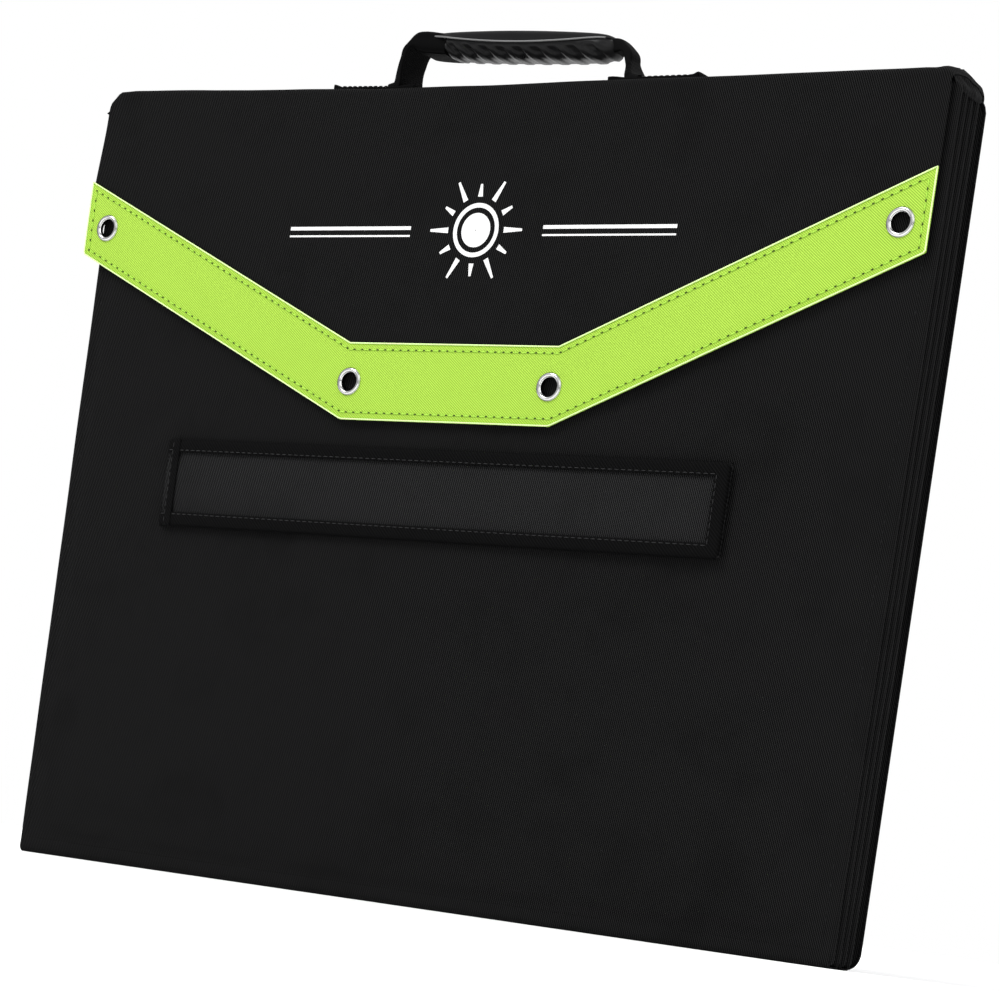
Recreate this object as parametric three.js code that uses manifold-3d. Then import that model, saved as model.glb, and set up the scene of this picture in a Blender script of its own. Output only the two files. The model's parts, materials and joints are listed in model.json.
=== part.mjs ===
// Folding solar suitcase: four photovoltaic panels in fabric sleeves, folded like an accordion into
// a carrying case. A spine with a moulded handle and a closing flap wraps over the top, a fabric
// leg lies on the front panel, and a pocket on the back holds the charge controller and its lead.
// Millimetres, +Z up, front of the closed case towards -Y. The origin is under the middle of the
// case's thickness, at the level it stands on.
import * as THREE from 'three';
import { mergeVertices } from 'three/addons/utils/BufferGeometryUtils.js';
import Module from 'manifold-3d';

const wasm = await Module();
wasm.setup();

// ---- driving dimensions ----

const CASE_WIDTH = 552;            // panel width along X
const PANEL_HEIGHT = 450;          // panel height along Z
const PANEL_THICK = 6;             // sleeve, skin to skin
const PANEL_PITCH = 6.6;           // middle of one panel to the middle of the next
const PANEL_CORNER = 10;           // corner radius of a sleeve
const FRONT_SKIN = -18;            // outer skin of the front panel
const REAR_SKIN = 18;              // outer skin of the rear pocket at its rim

const SKIN = 0.8;                  // fabric thickness of a sleeve
const FIT = 0.1;                   // slack between stacked layers
const STRIP_THICK = 1;             // fold strip
const HINGE_GAP = 0.8;             // from a fold line to the end of the piece it carries

const CELL = 125;                  // square silicon cell
const CELL_GAP = 3;
const CELL_CORNER = 11;            // leg of the corner cut off each cell
const CELL_THICK = 0.4;
const CELL_COLUMNS = 4;
const CELL_ROWS = 3;
const RIBBON = 6;                  // width of the soldered ribbons between cells

const FLAP_SHIFT = -6;             // the flap sits a little off the middle of the case
const FLAP_WIDTH = 556;
const FLAP_THICK = 1.2;
const FLAP_STANDOFF = 1.7;         // from the front skin to the back of the flap
const FLAP_LINE = 440;             // height of the line the flap opens about
const FLAP_LINE_GAP = 1.6;         // from that line to each sheet, so that the flap folds back
const FLAP_END = 363;              // height of the flap's lower corners
const FLAP_FLAT = 269;             // height of its straight lower edge
const FLAP_FLAT_HALF = 70;
const TRIM_BAND = 43;              // height of the coloured trim
const TRIM_THICK = 0.95;

const EYELET_OUTER = 8.3;          // flange radius
const EYELET_BORE = 5.6;
const EYELETS = [[-262, 378], [-67, 290], [67, 290], [262, 378]];

const LEG_LENGTH = 377;
const LEG_WIDTH = 50;
const LEG_LEFT = -197.6;           // hinge line of the leg
const LEG_MIDDLE = 228;            // height of its centre line
const LEG_THICK = 3.4;
const BINDING = 8;                 // visible width of the binding tape
const BINDING_THICK = 0.55;

const SPINE_THICK = 2.2;
const GRIP_LENGTH = 124;
const GRIP_DEPTH = 28;
const GRIP_HEIGHT = 18;
const GRIP_LIFT = 12;              // finger gap under the grip
const WEBBING_WIDTH = 24;
const WEBBING_THICK = 2;
const WEBBING_BASE = 67;           // half distance between the webbing's feet
const PATCH_END = 120;             // outer end of each sewn webbing patch

const POCKET_RISE = 15;            // how far the pocket bulges beyond its rim
const ZIP_LENGTH = 450;
const ZIP_HEIGHT = 425;
const CONTROLLER = { x: 70, z: 235, width: 150, height: 86, depth: 14 };
const JUNCTION = { x: -130, z: 345, width: 96, height: 56, depth: 8 };
const LEAD_RADIUS = 2.8;
const COIL = { x: -120, z: 190, radius: 72, pitch: 7, turns: 3 };

// ---- levels worked out from them ----

const FOLD_LOW = STRIP_THICK / 2;                          // height of the lower fold lines
const PANEL_FOOT = FOLD_LOW + HINGE_GAP;
const PANEL_HEAD = PANEL_FOOT + PANEL_HEIGHT;
const FOLD_HIGH = PANEL_HEAD + HINGE_GAP;                  // height of the upper fold line
const PANEL_Y = [0, 1, 2, 3].map((i) => FRONT_SKIN + PANEL_THICK / 2 + i * PANEL_PITCH);
const BACK_SKIN = PANEL_Y[3] + PANEL_THICK / 2;            // back of the fourth sleeve
const SPINE_Z = FOLD_HIGH + STRIP_THICK / 2 + 0.7 + SPINE_THICK / 2;
const SPINE_TOP = SPINE_Z + SPINE_THICK / 2;
const FLAP_Y = FRONT_SKIN - FLAP_STANDOFF - FLAP_THICK / 2; // middle plane of the flap
const SPINE_BACK = REAR_SKIN + 0.4;                        // the line the spine lifts about

// ---- colours and finishes ----

const finish = (color, roughness, metalness = 0) =>
  new THREE.MeshStandardMaterial({ color, roughness, metalness });
const BLACK_TWILL = finish(0x1c1c1c, 0.9);
const GREY_TWILL = finish(0x2a2a2a, 0.9);
const GREEN_TWILL = finish(0xb6f050, 0.8);
const BLACK_TAPE = finish(0x141414, 0.85);
const BOARD = finish(0x8a8f94, 0.7);
const BACKSHEET = finish(0xe8eaec, 0.45);
const SILICON = finish(0x14182c, 0.3, 0.2);
const NICKEL = finish(0xd8d8d8, 0.15, 1);
const PLASTIC = finish(0x17181a, 0.45);
const GRIP_RUBBER = finish(0x202022, 0.5);
const DISPLAY = finish(0x6d8f73, 0.2);
const BUTTON = finish(0x4aa04a, 0.5);
const CABLE = finish(0x101010, 0.5);
const TERMINAL_GREEN = finish(0x2c6e3a, 0.5);

const suitcase = new THREE.Group();

// ---- building helpers ----

function put(name, geometry, material) {
  const mesh = new THREE.Mesh(geometry, material);
  mesh.name = name;
  suitcase.add(mesh);
  return mesh;
}

/** A box from its lowest to its highest corner. */
function block([x0, y0, z0], [x1, y1, z1]) {
  const geometry = new THREE.BoxGeometry(x1 - x0, y1 - y0, z1 - z0);
  return geometry.translate((x0 + x1) / 2, (y0 + y1) / 2, (z0 + z1) / 2);
}

/** An outline drawn in X and Z, given thickness from yFront to yBack. */
function sheet(shape, yFront, yBack, curveSegments = 6) {
  const geometry = new THREE.ExtrudeGeometry(shape, {
    depth: yBack - yFront,
    bevelEnabled: false,
    curveSegments,
  });
  return geometry.rotateX(Math.PI / 2).translate(0, yBack, 0);
}

/** A rectangle with round corners, centred on (x, z). */
function roundedRectangle(x, z, width, height, radius) {
  const shape = new THREE.Shape();
  const left = x - width / 2;
  const right = x + width / 2;
  const low = z - height / 2;
  const high = z + height / 2;
  shape.moveTo(left + radius, low);
  shape.lineTo(right - radius, low);
  shape.absarc(right - radius, low + radius, radius, -Math.PI / 2, 0);
  shape.lineTo(right, high - radius);
  shape.absarc(right - radius, high - radius, radius, 0, Math.PI / 2);
  shape.lineTo(left + radius, high);
  shape.absarc(left + radius, high - radius, radius, Math.PI / 2, Math.PI);
  shape.lineTo(left, low + radius);
  shape.absarc(left + radius, low + radius, radius, Math.PI, 1.5 * Math.PI);
  return shape;
}

function polygon(points) {
  return new THREE.Shape(points.map(([x, z]) => new THREE.Vector2(x, z)));
}

/** Adds a round hole to an outline. */
function pierce(shape, x, z, radius) {
  const hole = new THREE.Path();
  hole.absarc(x, z, radius, 0, 2 * Math.PI, true);
  shape.holes.push(hole);
}

/** A tube along a curve, closed at both ends. */
function tube(curve, radius, steps, sides = 3) {
  const ring = new THREE.Shape();
  ring.absarc(0, 0, radius, 0, 2 * Math.PI);
  return new THREE.ExtrudeGeometry(ring, { extrudePath: curve, steps, curveSegments: sides });
}

function solid(geometry) {
  const bare = geometry.clone();
  bare.deleteAttribute('normal');
  bare.deleteAttribute('uv');
  const merged = mergeVertices(bare, 1e-4);
  return new wasm.Manifold(new wasm.Mesh({
    numProp: 3,
    vertProperties: new Float32Array(merged.attributes.position.array),
    triVerts: new Uint32Array(merged.index.array),
  }));
}

function fromSolid(body) {
  const mesh = body.getMesh();
  const geometry = new THREE.BufferGeometry();
  geometry.setAttribute('position', new THREE.BufferAttribute(mesh.vertProperties, 3));
  geometry.setIndex(new THREE.BufferAttribute(mesh.triVerts, 1));
  return geometry;
}

const cut = (geometry, ...tools) =>
  fromSolid(tools.reduce((body, tool) => body.subtract(solid(tool)), solid(geometry)));
const join = (geometry, ...others) =>
  fromSolid(others.reduce((body, other) => body.add(solid(other)), solid(geometry)));
const common = (geometry, other) => fromSolid(solid(geometry).intersect(solid(other)));

// ---- photovoltaic panels ----

const PANEL_CENTRE = (PANEL_FOOT + PANEL_HEAD) / 2;
const CAVITY = { width: CASE_WIDTH - 16, height: PANEL_HEIGHT - 16 };
const WINDOW = { width: CASE_WIDTH - 32, height: PANEL_HEIGHT - 48 };
const CELLS_WIDTH = CELL_COLUMNS * CELL + (CELL_COLUMNS - 1) * CELL_GAP;
const CELLS_HEIGHT = CELL_ROWS * CELL + (CELL_ROWS - 1) * CELL_GAP;

/** A sheet between two distances from a panel's middle plane, on the side its cells face. */
function layer(shape, middle, facing, near, far) {
  const a = middle + facing * near;
  const b = middle + facing * far;
  return sheet(shape, Math.min(a, b), Math.max(a, b), 3);
}

/** Fabric sleeve: an envelope with a window on the side of the cells. */
function sleeve(middle, facing) {
  const half = PANEL_THICK / 2;
  const outline = roundedRectangle(0, PANEL_CENTRE, CASE_WIDTH, PANEL_HEIGHT, PANEL_CORNER);
  const cavity = roundedRectangle(0, PANEL_CENTRE, CAVITY.width, CAVITY.height, 4);
  const window = roundedRectangle(0, PANEL_CENTRE, WINDOW.width, WINDOW.height, 4);
  return cut(
    layer(outline, middle, facing, -half, half),
    layer(cavity, middle, facing, SKIN - half, half - SKIN),
    layer(window, middle, facing, 0, half + 1),
  );
}

/** The gaps between cells, bridged only by the ribbons that join them in one long string. */
function cellGaps(y0, y1) {
  const left = -CELLS_WIDTH / 2;
  const low = PANEL_CENTRE - CELLS_HEIGHT / 2;
  const step = CELL + CELL_GAP;
  const gaps = [];
  for (let row = 0; row < CELL_ROWS; row++) {
    const foot = low + row * step;
    const ribbons = [foot + CELL / 4, foot + (3 * CELL) / 4];
    const stops = [foot - CELL_GAP, ...ribbons, foot + CELL + CELL_GAP];
    for (let column = 1; column < CELL_COLUMNS; column++) {
      const x = left + column * step - CELL_GAP;
      for (let part = 0; part < stops.length - 1; part++) {
        const from = stops[part] + (part > 0 ? RIBBON / 2 : 0);
        const to = stops[part + 1] - (part < stops.length - 2 ? RIBBON / 2 : 0);
        gaps.push(block([x, y0, from], [x + CELL_GAP, y1, to]));
      }
    }
    if (row > 0) {
      const turn = row % 2 ? 1 : -1;   // the string turns back at alternate ends
      const from = turn > 0 ? left - 1 : left + RIBBON * 2;
      const to = turn > 0 ? -left - RIBBON * 2 : -left + 1;
      gaps.push(block([from, y0, foot - CELL_GAP], [to, y1, foot]));
    }
  }
  return gaps;
}

/** Diamonds that take the corners off the cells. */
function cellCorners(y0, y1) {
  const step = CELL + CELL_GAP;
  const reach = CELL_CORNER + CELL_GAP / 2;
  const diamonds = [];
  for (let column = 0; column <= CELL_COLUMNS; column++) {
    for (let row = 0; row <= CELL_ROWS; row++) {
      const x = -CELLS_WIDTH / 2 - CELL_GAP / 2 + column * step;
      const z = PANEL_CENTRE - CELLS_HEIGHT / 2 - CELL_GAP / 2 + row * step;
      const diamond = polygon([[x - reach, z], [x, z - reach], [x + reach, z], [x, z + reach]]);
      diamonds.push(sheet(diamond, y0, y1));
    }
  }
  return diamonds;
}

function cellString(middle, facing) {
  const surface = PANEL_THICK / 2 - SKIN + FIT;
  const shape = roundedRectangle(0, PANEL_CENTRE, CELLS_WIDTH, CELLS_HEIGHT, 1);
  const plate = layer(shape, middle, facing, surface, surface + CELL_THICK);
  return cut(plate, ...cellGaps(middle - 5, middle + 5), ...cellCorners(middle - 5, middle + 5));
}

function panel(number, middle, facing) {
  const half = PANEL_THICK / 2;
  const depth = PANEL_THICK - 2 * SKIN;
  const laminate = 1.6;
  const board = depth - laminate - 3 * FIT;
  const insert = roundedRectangle(0, PANEL_CENTRE, CAVITY.width - 2, CAVITY.height - 2, 4);
  const boardNear = SKIN - half + FIT;
  const laminateNear = boardNear + board + FIT;
  put(`cover_${number}`, sleeve(middle, facing), BLACK_TWILL);
  put(`board_${number}`, layer(insert, middle, facing, boardNear, boardNear + board), BOARD);
  put(
    `laminate_${number}`,
    layer(insert, middle, facing, laminateNear, laminateNear + laminate),
    BACKSHEET,
  );
  put(`cells_${number}`, cellString(middle, facing), SILICON);
}

/** Strip of fabric that joins two panels, from one fold line to the next. */
function foldStrip(name, first, height) {
  const width = CASE_WIDTH - 2 * PANEL_CORNER;
  const low = height - STRIP_THICK / 2;
  const strip = block(
    [-width / 2, PANEL_Y[first], low],
    [width / 2, PANEL_Y[first + 1], low + STRIP_THICK],
  );
  put(name, strip, BLACK_TWILL);
}

// ---- spine, handle and flap ----

function buildSpine() {
  const half = FLAP_WIDTH / 2;
  const front = FLAP_Y + HINGE_GAP;
  const back = SPINE_BACK - HINGE_GAP;
  const low = SPINE_Z - SPINE_THICK / 2;
  const lining = 0.45;
  const outer = block([FLAP_SHIFT - half, front, low], [FLAP_SHIFT + half, back, SPINE_TOP]);
  const hollow = block(
    [FLAP_SHIFT - half - 1, front + 1.5, low + lining],
    [FLAP_SHIFT + half - 6, back - 1.5, SPINE_TOP - lining],
  );
  const board = block(
    [FLAP_SHIFT - half + 6, front + 2, low + lining + FIT],
    [FLAP_SHIFT + half - 7, back - 2, SPINE_TOP - lining - FIT],
  );
  put('spine_cover', cut(outer, hollow), BLACK_TWILL);
  put('spine_board', board, BOARD);
}

/** Webbing sewn flat to the spine at each end of the handle. */
function buildHandlePatches() {
  const low = SPINE_TOP + FIT;
  const high = low + 1.4;
  const half = WEBBING_WIDTH / 2;
  for (const [side, name] of [[-1, 'handle_patch_left'], [1, 'handle_patch_right']]) {
    const ends = [side * (WEBBING_BASE + 4), side * PATCH_END].sort((a, b) => a - b);
    put(name, block([ends[0], -half, low], [ends[1], half, high]), BLACK_TAPE);
  }
}

/** Outline of the webbing seen from the front: up from one foot, through the grip, and down. */
function webbingOutline(foot, inside) {
  const t = WEBBING_THICK;
  const half = GRIP_LENGTH / 2 - 4;
  const outline = new THREE.Shape();
  outline.moveTo(-WEBBING_BASE, foot);
  outline.quadraticCurveTo(-WEBBING_BASE, inside + t, -half, inside + t);
  outline.lineTo(half, inside + t);
  outline.quadraticCurveTo(WEBBING_BASE, inside + t, WEBBING_BASE, foot);
  outline.lineTo(WEBBING_BASE - t, foot);
  outline.quadraticCurveTo(WEBBING_BASE - t, inside, half - t, inside);
  outline.lineTo(-half + t, inside);
  outline.quadraticCurveTo(-WEBBING_BASE + t, inside, -WEBBING_BASE + t, foot);
  return outline;
}

/** Outline of the webbing seen from the end: narrow at its foot, so that the handle can tilt. */
function webbingTaper(foot, top) {
  const half = WEBBING_WIDTH / 2;
  const shape = polygon([
    [-1.5, foot], [1.5, foot], [half, foot + half - 1.5], [half, top], [-half, top],
    [-half, foot + half - 1.5],
  ]);
  const length = 2 * WEBBING_BASE + 4;
  const geometry = new THREE.ExtrudeGeometry(shape, { depth: length, bevelEnabled: false });
  return geometry.rotateX(Math.PI / 2).rotateZ(Math.PI / 2).translate(-length / 2, 0, 0);
}

/** Oval bar along X, kept only between two heights. */
function ovalBar(centre, low, high) {
  const oval = new THREE.Shape();
  oval.absellipse(0, 0, GRIP_DEPTH / 2, GRIP_HEIGHT / 2, 0, 2 * Math.PI);
  const bar = new THREE.ExtrudeGeometry(oval, {
    depth: GRIP_LENGTH - 3,
    bevelSize: 1.5,
    bevelOffset: -1.5,
    bevelThickness: 1.5,
    bevelSegments: 2,
    curveSegments: 12,
  });
  bar.rotateX(Math.PI / 2).rotateZ(Math.PI / 2);
  bar.translate(-GRIP_LENGTH / 2 + 1.5, 0, centre);
  const reach = GRIP_LENGTH;
  return common(bar, block([-reach, -reach, low], [reach, reach, high]));
}

function buildHandle() {
  const foot = SPINE_TOP + 1;
  const centre = SPINE_TOP + GRIP_LIFT + GRIP_HEIGHT / 2;
  const seat = centre + 1;                       // level the webbing lies at inside the grip
  const webbing = common(
    sheet(webbingOutline(foot, seat), -WEBBING_WIDTH / 2, WEBBING_WIDTH / 2, 8),
    webbingTaper(foot, seat + 10),
  );
  const slack = 0.3;
  const channel = sheet(
    webbingOutline(foot - slack, seat),
    -WEBBING_WIDTH / 2 - slack,
    WEBBING_WIDTH / 2 + slack,
    8,
  );
  const split = seat + WEBBING_THICK + slack;
  const trough = block(
    [-GRIP_LENGTH, -WEBBING_WIDTH / 2 - slack, seat - slack],
    [GRIP_LENGTH, WEBBING_WIDTH / 2 + slack, split + 1],
  );
  const body = ovalBar(centre, centre - GRIP_HEIGHT, split);
  const endClearance = [-1, 1].map((side) => {
    const ends = [side * (GRIP_LENGTH / 2 - 9), side * GRIP_LENGTH].sort((a, b) => a - b);
    return block(
      [ends[0], -WEBBING_WIDTH / 2 - slack, seat - 6],
      [ends[1], WEBBING_WIDTH / 2 + slack, split + 1],
    );
  });
  put('handle_webbing', webbing, BLACK_TAPE);
  put('grip_body', cut(body, channel, trough, ...endClearance), GRIP_RUBBER);
  put('grip_cap', ovalBar(centre, split + slack, centre + GRIP_HEIGHT), GRIP_RUBBER);
}

/** Lower edge of the flap raised by some height, from its left end to its right end. */
function flapEdge(raise) {
  const half = FLAP_WIDTH / 2;
  const inset = raise * 0.19;      // the mitred corners move inwards as the edge rises
  return [
    [FLAP_SHIFT - half, FLAP_END + raise],
    [FLAP_SHIFT - FLAP_FLAT_HALF + inset, FLAP_FLAT + raise],
    [FLAP_SHIFT + FLAP_FLAT_HALF - inset, FLAP_FLAT + raise],
    [FLAP_SHIFT + half, FLAP_END + raise],
  ];
}

function withEyeletHoles(shape) {
  for (const [x, z] of EYELETS) {
    pierce(shape, FLAP_SHIFT + x, z, EYELET_BORE + 1);
  }
  return shape;
}

function buildFlap() {
  const half = FLAP_WIDTH / 2;
  const front = FLAP_Y - FLAP_THICK / 2;
  const back = FLAP_Y + FLAP_THICK / 2;
  const top = FLAP_LINE - FLAP_LINE_GAP;
  const outline = [...flapEdge(0), [FLAP_SHIFT + half, top], [FLAP_SHIFT - half, top]];
  const band = [...flapEdge(0), ...flapEdge(TRIM_BAND).reverse()];
  put(
    'flap_root',
    block(
      [FLAP_SHIFT - half, front, FLAP_LINE + FLAP_LINE_GAP],
      [FLAP_SHIFT + half, back, SPINE_Z - HINGE_GAP],
    ),
    BLACK_TWILL,
  );
  put('flap_sheet', sheet(withEyeletHoles(polygon(outline)), front, back), BLACK_TWILL);
  put(
    'flap_trim',
    sheet(withEyeletHoles(polygon(band)), front - 0.05 - TRIM_THICK, front - 0.05),
    GREEN_TWILL,
  );
}

/** Profile turned about the line through an eyelet's hole. */
function turned(points, x, z) {
  const profile = points.map(([radius, y]) => new THREE.Vector2(radius, y));
  return new THREE.LatheGeometry([...profile, profile[0]], 20).translate(x, 0, z);
}

function buildEyelets() {
  const front = FLAP_Y - FLAP_THICK / 2 - 0.05 - TRIM_THICK;
  const back = FLAP_Y + FLAP_THICK / 2;
  const barrel = EYELET_BORE + 0.6;
  EYELETS.forEach(([x, z], i) => {
    const eyelet = turned([
      [EYELET_BORE, front - 0.95], [EYELET_BORE, back + 0.35], [barrel, back + 0.35],
      [barrel, front - 0.1], [EYELET_OUTER, front - 0.1], [EYELET_OUTER - 0.5, front - 0.95],
    ].reverse(), FLAP_SHIFT + x, z);
    const washer = turned([
      [barrel + 0.2, back + 0.1], [EYELET_OUTER, back + 0.1], [EYELET_OUTER - 0.4, back + 0.8],
      [barrel + 0.2, back + 0.8],
    ], FLAP_SHIFT + x, z);
    put(`eyelet_${i + 1}`, eyelet, NICKEL);
    put(`eyelet_washer_${i + 1}`, washer, NICKEL);
  });
}

/** Hook tape on the back of the flap, and the loop tape it presses on. */
function buildHookAndLoop() {
  const size = { width: 70, height: 20, thick: 0.65 };
  const hookBack = FLAP_Y + FLAP_THICK / 2 + 0.1 + size.thick;
  for (const [side, name] of [[-1, 'left'], [1, 'right']]) {
    const x = FLAP_SHIFT + side * 150;
    const shape = roundedRectangle(x, 352, size.width, size.height, 3);
    put(`hook_tape_${name}`, sheet(shape, hookBack - size.thick, hookBack, 2), BLACK_TAPE);
    put(`loop_tape_${name}`, sheet(shape, FRONT_SKIN - 0.1 - size.thick, FRONT_SKIN - 0.1, 2),
      BLACK_TAPE);
  }
}

// ---- leg ----

function buildLeg() {
  const back = FRONT_SKIN - 0.4 - BINDING_THICK;
  const front = back - LEG_THICK;
  const right = LEG_LEFT + LEG_LENGTH;
  const low = LEG_MIDDLE - LEG_WIDTH / 2;
  const high = LEG_MIDDLE + LEG_WIDTH / 2;
  const cover = block([LEG_LEFT, front, low], [right, back, high]);
  const hollow = block([LEG_LEFT - 1, front + 0.7, low + 3], [right - 3, back - 0.7, high - 3]);
  const board = block(
    [LEG_LEFT + 2, front + 0.8, low + 3.5],
    [right - 4, back - 0.8, high - 3.5],
  );
  const slack = 0.05;
  const wrap = block(
    [LEG_LEFT + 1, front - BINDING_THICK, low - BINDING_THICK],
    [right + BINDING_THICK, back + BINDING_THICK, high + BINDING_THICK],
  );
  const opening = block([LEG_LEFT, front - 2, low + BINDING], [right - BINDING, back + 2, high - BINDING]);
  const core = block(
    [LEG_LEFT - 1, front - slack, low - slack],
    [right + slack, back + slack, high + slack],
  );
  const hinge = roundedRectangle(LEG_LEFT - 11, LEG_MIDDLE, 12, LEG_WIDTH + 2, 1);
  put('leg_cover', cut(cover, hollow), GREY_TWILL);
  put('leg_board', board, BOARD);
  put('leg_binding', cut(wrap, opening, core), BLACK_TAPE);
  put('leg_hinge_tape', sheet(hinge, FRONT_SKIN - 1, FRONT_SKIN - 0.1, 2), BLACK_TAPE);
}

// ---- rear pocket and what it holds ----

/** Cushion-shaped bulge standing on the plane y0. */
function bulge(halfWidth, halfHeight, y0, rise) {
  const columns = 18;
  const rows = 14;
  const fade = (u) => (1 - u ** 4) ** 1.5;
  const vertices = [];
  const faces = [];
  const add = (u, v, y) => vertices.push(u * halfWidth, y, PANEL_CENTRE + v * halfHeight) / 3 - 1;
  const grid = [];
  for (let i = 0; i <= columns; i++) {
    const column = [];
    for (let j = 0; j <= rows; j++) {
      const u = Math.sin((i / columns - 0.5) * Math.PI);
      const v = Math.sin((j / rows - 0.5) * Math.PI);
      column.push(add(u, v, y0 + 0.01 + rise * fade(u) * fade(v)));
    }
    grid.push(column);
  }
  const base = grid.map((column, i) => column.map((top, j) => {
    const edge = i === 0 || j === 0 || i === columns || j === rows;
    const [x, z] = [vertices[3 * top], vertices[3 * top + 2]];
    return edge ? vertices.push(x, y0 - 1, z) / 3 - 1 : -1;
  }));
  for (let i = 0; i < columns; i++) {
    for (let j = 0; j < rows; j++) {
      faces.push(grid[i][j], grid[i][j + 1], grid[i + 1][j]);
      faces.push(grid[i + 1][j], grid[i][j + 1], grid[i + 1][j + 1]);
    }
  }
  const rim = [];
  for (let i = 0; i < columns; i++) rim.push([i, 0]);
  for (let j = 0; j < rows; j++) rim.push([columns, j]);
  for (let i = columns; i > 0; i--) rim.push([i, rows]);
  for (let j = rows; j > 0; j--) rim.push([0, j]);
  const centre = vertices.push(0, y0 - 1, PANEL_CENTRE) / 3 - 1;
  rim.forEach(([i, j], k) => {
    const [m, n] = rim[(k + 1) % rim.length];
    faces.push(grid[i][j], grid[m][n], base[i][j]);
    faces.push(base[i][j], grid[m][n], base[m][n]);
    faces.push(base[i][j], base[m][n], centre);
  });
  const geometry = new THREE.BufferGeometry();
  geometry.setAttribute('position', new THREE.Float32BufferAttribute(vertices, 3));
  geometry.setIndex(faces);
  return geometry;
}

function buildPocket() {
  const lip = { front: REAR_SKIN - 2.6, back: REAR_SKIN };
  const wall = 1.4;
  const inset = 7;
  const halfWidth = CASE_WIDTH / 2 - 1;
  const top = PANEL_HEAD - 0.3;
  const gussetFront = BACK_SKIN + 0.2;
  const gusset = block([-halfWidth + inset, gussetFront, 0], [halfWidth - inset, lip.front + 1, top]);
  const rim = sheet(
    roundedRectangle(0, top / 2, 2 * halfWidth, top, PANEL_CORNER), lip.front, lip.back, 3);
  const inner = block(
    [-halfWidth + inset + wall, gussetFront - 1, wall],
    [halfWidth - inset - wall, lip.back - wall, top - wall],
  );
  const half = [CASE_WIDTH / 2 - 45, PANEL_HEIGHT / 2 - 45];
  const slot = block(
    [-ZIP_LENGTH / 2, lip.front - 1, ZIP_HEIGHT - 3.2],
    [ZIP_LENGTH / 2, lip.back + 1, ZIP_HEIGHT + 3.2],
  );
  const shell = join(gusset, rim, bulge(half[0], half[1], lip.back, POCKET_RISE));
  const swell = bulge(half[0] - 1, half[1] - 1, lip.back - wall, POCKET_RISE);
  put('rear_pocket', cut(shell, inner, swell, slot), BLACK_TWILL);
}

function buildZip() {
  const back = REAR_SKIN - 0.5;
  const half = ZIP_LENGTH / 2 - 0.4;
  const tape = block([-half, back - 1.6, ZIP_HEIGHT - 2.9], [half, back - 0.4, ZIP_HEIGHT + 2.9]);
  const teeth = block([-half + 4, back - 1, ZIP_HEIGHT - 1.4], [half - 4, back, ZIP_HEIGHT + 1.4]);
  const x = -ZIP_LENGTH / 2 + 12;
  const deck = REAR_SKIN + 0.3;
  const body = block([x - 5, deck, ZIP_HEIGHT - 4], [x + 5, deck + 2.4, ZIP_HEIGHT + 4]);
  const bridge = block([x - 3, deck + 1, ZIP_HEIGHT - 2], [x + 3, deck + 4, ZIP_HEIGHT + 1]);
  const pull = sheet(roundedRectangle(x, ZIP_HEIGHT - 13, 7, 26, 3), deck + 2, deck + 3.6, 3);
  put('zip_tape', join(tape, teeth), BLACK_TAPE);
  put('zip_slider', join(body, bridge, pull), PLASTIC);
}

function buildController() {
  const { x, z, width, height, depth } = CONTROLLER;
  const front = BACK_SKIN + 0.3;
  const face = front + depth;
  const case_ = sheet(roundedRectangle(x, z, width, height, 8), front, face, 3);
  const display = { x: x - 20, z: z + 14, width: 56, height: 26 };
  const recess = sheet(
    roundedRectangle(display.x, display.z, display.width, display.height, 2), face - 1.4, face + 1, 2);
  const glass = sheet(
    roundedRectangle(display.x, display.z, display.width - 0.6, display.height - 0.6, 2),
    face - 1.3, face - 0.1, 2);
  const well = sheet(roundedRectangle(x + 45, z + 14, 14.6, 14.6, 7.2), face - 4, face + 1, 5);
  const key = sheet(roundedRectangle(x + 45, z + 14, 14, 14, 6.9), face - 2.4, face + 1.2, 5);
  const tray = block([x - 56, face - 7, z - 44], [x + 56, face + 1, z - 28]);
  let terminals = block([x - 55.5, face - 6.8, z - 43.5], [x + 55.5, face - 0.5, z - 28.5]);
  for (let i = 0; i < 6; i++) {
    const screw = x - 45 + i * 18;
    terminals = cut(terminals, block([screw - 3, face - 3, z - 38], [screw + 3, face + 1, z - 32]));
  }
  put('controller_case', cut(case_, recess, well, tray), PLASTIC);
  put('controller_display', glass, DISPLAY);
  put('controller_terminals', terminals, TERMINAL_GREEN);
  put('mode_button', key, BUTTON);
}

function buildJunctionBox() {
  const { x, z, width, height, depth } = JUNCTION;
  const front = BACK_SKIN + 0.3;
  const box = sheet(roundedRectangle(x, z, width, height, 5), front, front + depth, 3);
  const hollow = sheet(roundedRectangle(x, z, width - 5, height - 5, 3), front + 2, front + depth + 1, 3);
  const lid = sheet(
    roundedRectangle(x, z, width, height, 5), front + depth + 0.1, front + depth + 1.9, 3);
  put('junction_box', cut(box, hollow), PLASTIC);
  put('junction_lid', lid, PLASTIC);
}

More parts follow.
